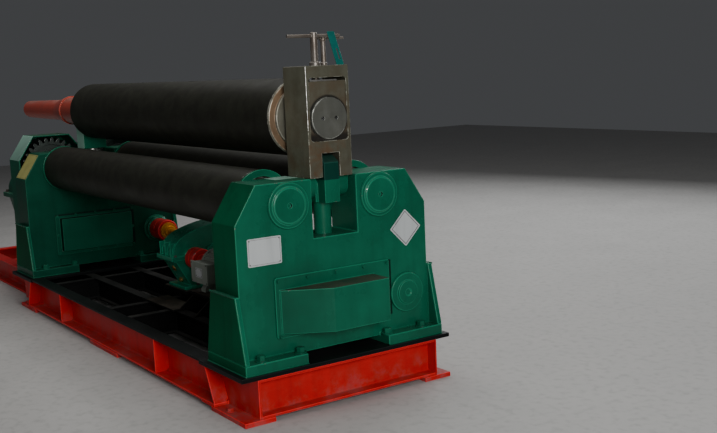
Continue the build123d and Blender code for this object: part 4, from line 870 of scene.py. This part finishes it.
# %% Gear unit bolts
lift_flange = [(x, y, 0.459) for x in (-0.2965, -0.0835) for y in (-0.055, 0.125, 0.29, 0.49, 0.58)]
bolts_on("lift_reducer_bolts", lift_flange, UP, 0.014)
main_flange = [(x, y, 0.735) for x in (-2.235, -1.925) for y in (-0.42, -0.12, 0.13, 0.43)]
bolts_on("main_reducer_bolts", main_flange, UP, 0.024)
RING, RING_START = 0.101, 0.2
case_rings = [(-1.868, y + RING * math.cos(RING_START + a), LOWER_Z + RING * math.sin(RING_START + a))
              for y in (-HALF_SPAN, HALF_SPAN) for a in turns_of(8)]
bolts_on("gear_case_bolts", case_rings, TO_DRIVE, 0.013, TEAL_DARK)
sole = [(x, y, 0.268) for x in (-0.3, -0.08) for y in (0.08, 0.5)]
bolts_on("lift_sole_bolts", sole, UP, 0.016)
main_sole = [(x, y, 0.437) for x in (-2.245, -1.915) for y in (-0.36, 0.4)]
bolts_on("main_sole_bolts", main_sole, UP, 0.03)
print("gear unit bolts", len(lift_flange) + len(main_flange) + len(case_rings))

# %% [markdown]
# ## Weld seams
# The base and the side frames are welded from plate. A fillet weld shows as a rounded line in the corner of two
# plates, a few millimetres thick and slightly rippled, and paint runs over it. Each seam is given by its corner
# points.


# %% Seams on the frames
def frame_seams(sign):
    """Over each gusset, up the flank, along the frame's lower edge and round the foot plate, on both sides."""
    inner, outer = sign * 1.4075, sign * 1.6325
    foot_in, foot_out = sign * 1.3335, sign * 1.7065
    arch, foot_end = 0.226, 0.55
    seams = []
    for side in (1, -1):
        flank = side * 0.525
        seams.append([(sign * FRAME_X + dx, flank + side * 0.025, 0.5665) for dx in (-0.120, 0.120)])
        for x in (outer, inner):
            seams.append([(x, flank, 0.272), (x, flank, 0.56)])
            seams.append([(x, flank - side * 0.001, 0.270), (x, side * arch, 0.270)])
        foot = ((foot_in, arch), (foot_in, foot_end), (foot_out, foot_end), (foot_out, arch))
        seams.append([(x, side * y, 0.222) for x, y in foot])
    return seams


welds_on("frame_welds", frame_seams(1) + frame_seams(-1), 0.0045)
hood = ((-0.322, 0.3625), (0.195, 0.3625), (0.195, 0.5665), (-0.322, 0.5665), (-0.322, 0.3625))
welds_on("hood_welds", [[(COVER_RIM, y, z) for y, z in hood]], 0.003)
print("frame seams", len(frame_seams(1)) * 2)

# %% Seams on the base
quarter_seams = [
    [(0.735, 0.5, 0.036), (0.735, 0.5, 0.208)], [(0.735, 0.502, 0.034), (0.735, 0.573, 0.034)],
    [(1.408, 0.509, 0.034), (1.408, 0.573, 0.034)], [(1.65, 0.491, 0.036), (1.65, 0.491, 0.2)],
    [(1.72, 0.4915, 0.024), (1.72, 0.4915, 0.2)], [(1.4, 0.5755, 0.022), (1.29, 0.5755, 0.022)]]
base_seams = [mirrored(seam, quarter) for quarter in ALL_FOUR for seam in quarter_seams]
welds_on("base_welds", base_seams, 0.004, RED)
pit_seams = [[(x + dx, side * 0.4905, 0.064), (x + dx, side * 0.4905, 0.2)] for x in (-1.13, -0.155, 0.14, 1.13)
             for dx in (-0.004, 0.004) for side in (1, -1)]
welds_on("pit_welds", pit_seams, 0.004, PIT)
print("base seams", len(base_seams) + len(pit_seams))

# %% [markdown]
# ## Screws and the bearing window
# The upper roll is carried by two square-threaded screws, and the one at the drive end shows its thread between the
# frame and the bearing block. The CAD rod has the thread's outer size, so the core here is thinner and the ridge of
# a spiral brings it back. The larger cross-bar screw on the housing has the same spiral, finer. A thin packer
# closes the gap over the bearing block in the window, and its ground edge is the brightest line on the housing.


# %% A turned core and its thread
def turned(name, profile, x, body, finish, segments=40):
    """A round solid on an upright axis over y = 0, from pairs of radius and height."""
    shape = bmesh.new()
    rows = [[shape.verts.new((x + r * math.cos(a), r * math.sin(a), z))
             for a in turns_of(segments)] for r, z in profile]
    for low, high in zip(rows, rows[1:]):
        for k in range(segments):
            shape.faces.new((low[k], low[(k + 1) % segments], high[(k + 1) % segments], high[k]))
    shape.faces.new(list(reversed(rows[0])))
    shape.faces.new(rows[-1])
    bmesh.ops.recalc_face_normals(shape, faces=shape.faces)
    return add_piece(name, mesh_of(shape, name), body, [finish])


def thread_on(name, x, z, radius, pitch, turns, ridge, body, finish):
    sizes = {"Radius": radius, "Pitch": pitch, "Turns": turns, "Ridge": ridge, "Finish": finish}
    grown_piece(name, marked_points([(x, 0, z)]), thread, body, sizes, 50.0)


core = turned("far_screw_core", [(0.038, 0.72), (0.038, 1.06)], -FRAME_X, "carriage", BRIGHT)
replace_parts(core, "far_lift_screw")
thread_on("far_screw_thread", -FRAME_X, 0.728, 0.0382, 0.012, 27.0, 0.0036, "carriage", BRIGHT)
thread_on("tee_screw_thread", FRAME_X, 1.58, 0.0168, 0.004, 22.0, 0.0011, "housing", RUSTY)
print("threads on", core.name)


# %% Packer in the window
def bevelled_box(name, low, high, body, finish, width):
    shape = bmesh.new()
    bmesh.ops.create_cube(shape, size=1.0)
    centre = [(a + b) / 2 for a, b in zip(low, high)]
    for vert in shape.verts:
        vert.co = Vector([c + v * (b - a) for c, v, a, b in zip(centre, vert.co, low, high)])
    soften(shape, width)
    add_piece(name, mesh_of(shape, name), body, [finish])


bevelled_box("window_packer", (1.436, -0.088, 1.4892), (1.612, 0.056, 1.4962), "housing", BRIGHT, 0.0015)
print("packer over the bearing block")

# %% [markdown]
# ## Bare plates
# The machine carries a few thin sheet plates: a white one and a white diamond on the near frame, and a yellow one
# on the chamfer of the drive-end frame. They are kept bare: sheet one and a half millimetres thick, with a thin
# border line near the edge. All but the diamond have a rivet in each corner. Each is one closed solid from rings of
# points, because a border line that lies between two of them stays even all round.


# %% Plates on the frames
PLATE_THICK, PLATE_GAP = 0.0015, 0.0004


def bare_plate(name, centre, across, up, width, height, finish, rivets=True, inset=0.006, stroke=0.0012):
    across, up = Vector(across).normalized(), Vector(up).normalized()
    out = across.cross(up)
    turn = Matrix((across, up, out)).transposed().to_4x4()
    shape = bmesh.new()
    corners = [(-0.5, -0.5), (0.5, -0.5), (0.5, 0.5), (-0.5, 0.5)]
    loops = []
    for depth, radius, level in ((0.0, 0.006, 0.0), (0.0, 0.006, PLATE_THICK), (inset, 0.002, PLATE_THICK),
                                 (inset + stroke, 0.0015, PLATE_THICK)):
        loops.append([])
        for quarter, (a, b) in enumerate(corners):
            middle = (a * (width - 2 * depth - 2 * radius), b * (height - 2 * depth - 2 * radius))
            for k in range(5):
                turn_by = math.radians(180 + quarter * 90 + k * 22.5)
                corner = (middle[0] + radius * math.cos(turn_by), middle[1] + radius * math.sin(turn_by), level)
                loops[-1].append(shape.verts.new(corner))
    for ring, (outer, inner) in enumerate(zip(loops, loops[1:])):
        for k in range(len(outer)):
            after = (k + 1) % len(outer)
            shape.faces.new([outer[k], outer[after], inner[after], inner[k]]).material_index = ring == 2
    shape.faces.new(loops[-1])
    shape.faces.new(loops[0][::-1])
    shape.transform(Matrix.Translation(centre) @ turn)
    piece = add_piece(name, mesh_of(shape, name), "frame", [finish, PLATE_LINE])
    print(name, len(piece.data.polygons), "faces")
    if rivets:
        places = [Vector(centre) + a * across * (width - 0.02) + b * up * (height - 0.02) + out * 0.0017
                  for a, b in corners]
        rivets_on(name + "_rivets", places, tuple(out), 0.0032)


bare_plate("white_plate", (FACE + PLATE_GAP, -0.383, 0.753), (0, 1, 0), UP, 0.172, 0.126, WHITE_PLATE)
bare_plate("diamond_plate", (FACE + PLATE_GAP, 0.400, 0.763), (0, 1, 1), (0, -1, 1), 0.130, 0.130, WHITE_PLATE,
           rivets=False, inset=0.007, stroke=0.003)
slope = Vector((0, 0.112, 0.172)).normalized()
middle = Vector((-FRAME_X, -0.469, 0.966)) + Vector((0, -slope.z, slope.y)) * PLATE_GAP
bare_plate("yellow_plate", middle, TO_END, slope, 0.205, 0.185, YELLOW_PLATE)

# %% [markdown]
# ## Fittings on the gear units and motors
# Small fittings tell a gear unit from a box: a drain plug at the low end of each, and on the lift reducer a level
# glass in a brass ring and a breather. The lift motor has an eye bolt, a bare plate and a terminal box with four
# screws, and both motors have a slotted fan cover. They come from the trees above or from a ring of points.


# %% Ring-shaped fittings
def ring_piece(name, centre, axis, radius, thick, finish, segments=36, around=12):
    shape = bmesh.new()
    axis = Vector(axis).normalized()
    side = axis.orthogonal().normalized()
    other = axis.cross(side)
    rows = []
    for turn in turns_of(segments):
        out = math.cos(turn) * side + math.sin(turn) * other
        rows.append([shape.verts.new(Vector(centre) + out * (radius + thick * math.cos(b))
                                     + axis * thick * math.sin(b)) for b in turns_of(around)])
    for k in range(segments):
        low, high = rows[k], rows[(k + 1) % segments]
        for j in range(around):
            after = (j + 1) % around
            shape.faces.new((low[j], high[j], high[after], low[after]))
    bmesh.ops.recalc_face_normals(shape, faces=shape.faces)
    add_piece(name, mesh_of(shape, name), "frame", [finish])


LIFT_LEAN, MAIN_LEAN = (0, -0.869, -0.494), (0, -0.975, -0.222)
LEVEL = (-0.19, -0.0205, 0.372)
ring_piece("lift_motor_eye", (0.335, 0.05, 0.5495), TO_END, 0.016, 0.005, BOLT_STEEL)
ring_piece("level_glass_ring", LEVEL, LIFT_LEAN, 0.017, 0.004, BRASS)
rivets_on("level_glass", [LEVEL], LIFT_LEAN, 0.015, GLASS)
bolts_on("drain_plugs", [(-0.19, 0.0233, 0.297), (-2.08, -0.3838, 0.56)], [LIFT_LEAN, MAIN_LEAN], 0.022, finish=BRASS)
bolts_on("breathers", [(-0.19, 0.3, 0.645)], UP, 0.024, finish=BRASS, height=1.2)
print("fittings placed")


# %% Fan cover slots, terminal box screws, plate and foot bolts
def fan_slots(name, centre, inner, outer, rows, facing):
    ways = [Vector((0, math.cos(turn), math.sin(turn))) for turn in turns_of(rows)]
    places = [Vector(centre) + way * (inner + outer) / 2 for way in ways]
    start = marked_points(places, facing=[facing] * rows, along=ways)
    sizes = {"Length": outer - inner, "Width": 0.09 * outer, "Depth": 0.0016, "Finish": PIT}
    grown_piece(name, start, slots, "frame", sizes)


MOTOR_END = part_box("lift_motor")[1][0]
MAIN_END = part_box("main_motor")[0][0]
for inner, outer, rows in ((0.018, 0.042, 10), (0.048, 0.070, 18)):
    fan_slots(f"lift_fan_slots_{rows}", (MOTOR_END, 0.05, 0.447), inner, outer, rows, TO_END)
for inner, outer, rows in ((0.03, 0.08, 12), (0.088, 0.132, 22)):
    fan_slots(f"main_fan_slots_{rows}", (MAIN_END, 0.3, 0.719), inner, outer, rows, TO_DRIVE)
screws = [(x, -0.105, z) for x in (0.249, 0.431) for z in (0.379, 0.481)]
rivets_on("terminal_screws", screws, (0, -1, 0), 0.005)
bare_plate("motor_plate", (0.34, -0.1054, 0.43), TO_END, UP, 0.085, 0.055, WHITE_PLATE, inset=0.004)
bolts_on("motor_feet_bolts", [(x, 0.05 + s * 0.098, 0.321) for x in (0.29, 0.48) for s in (-1, 1)], UP, 0.017)
print("motor ends at", round(MOTOR_END, 3), round(MAIN_END, 3))
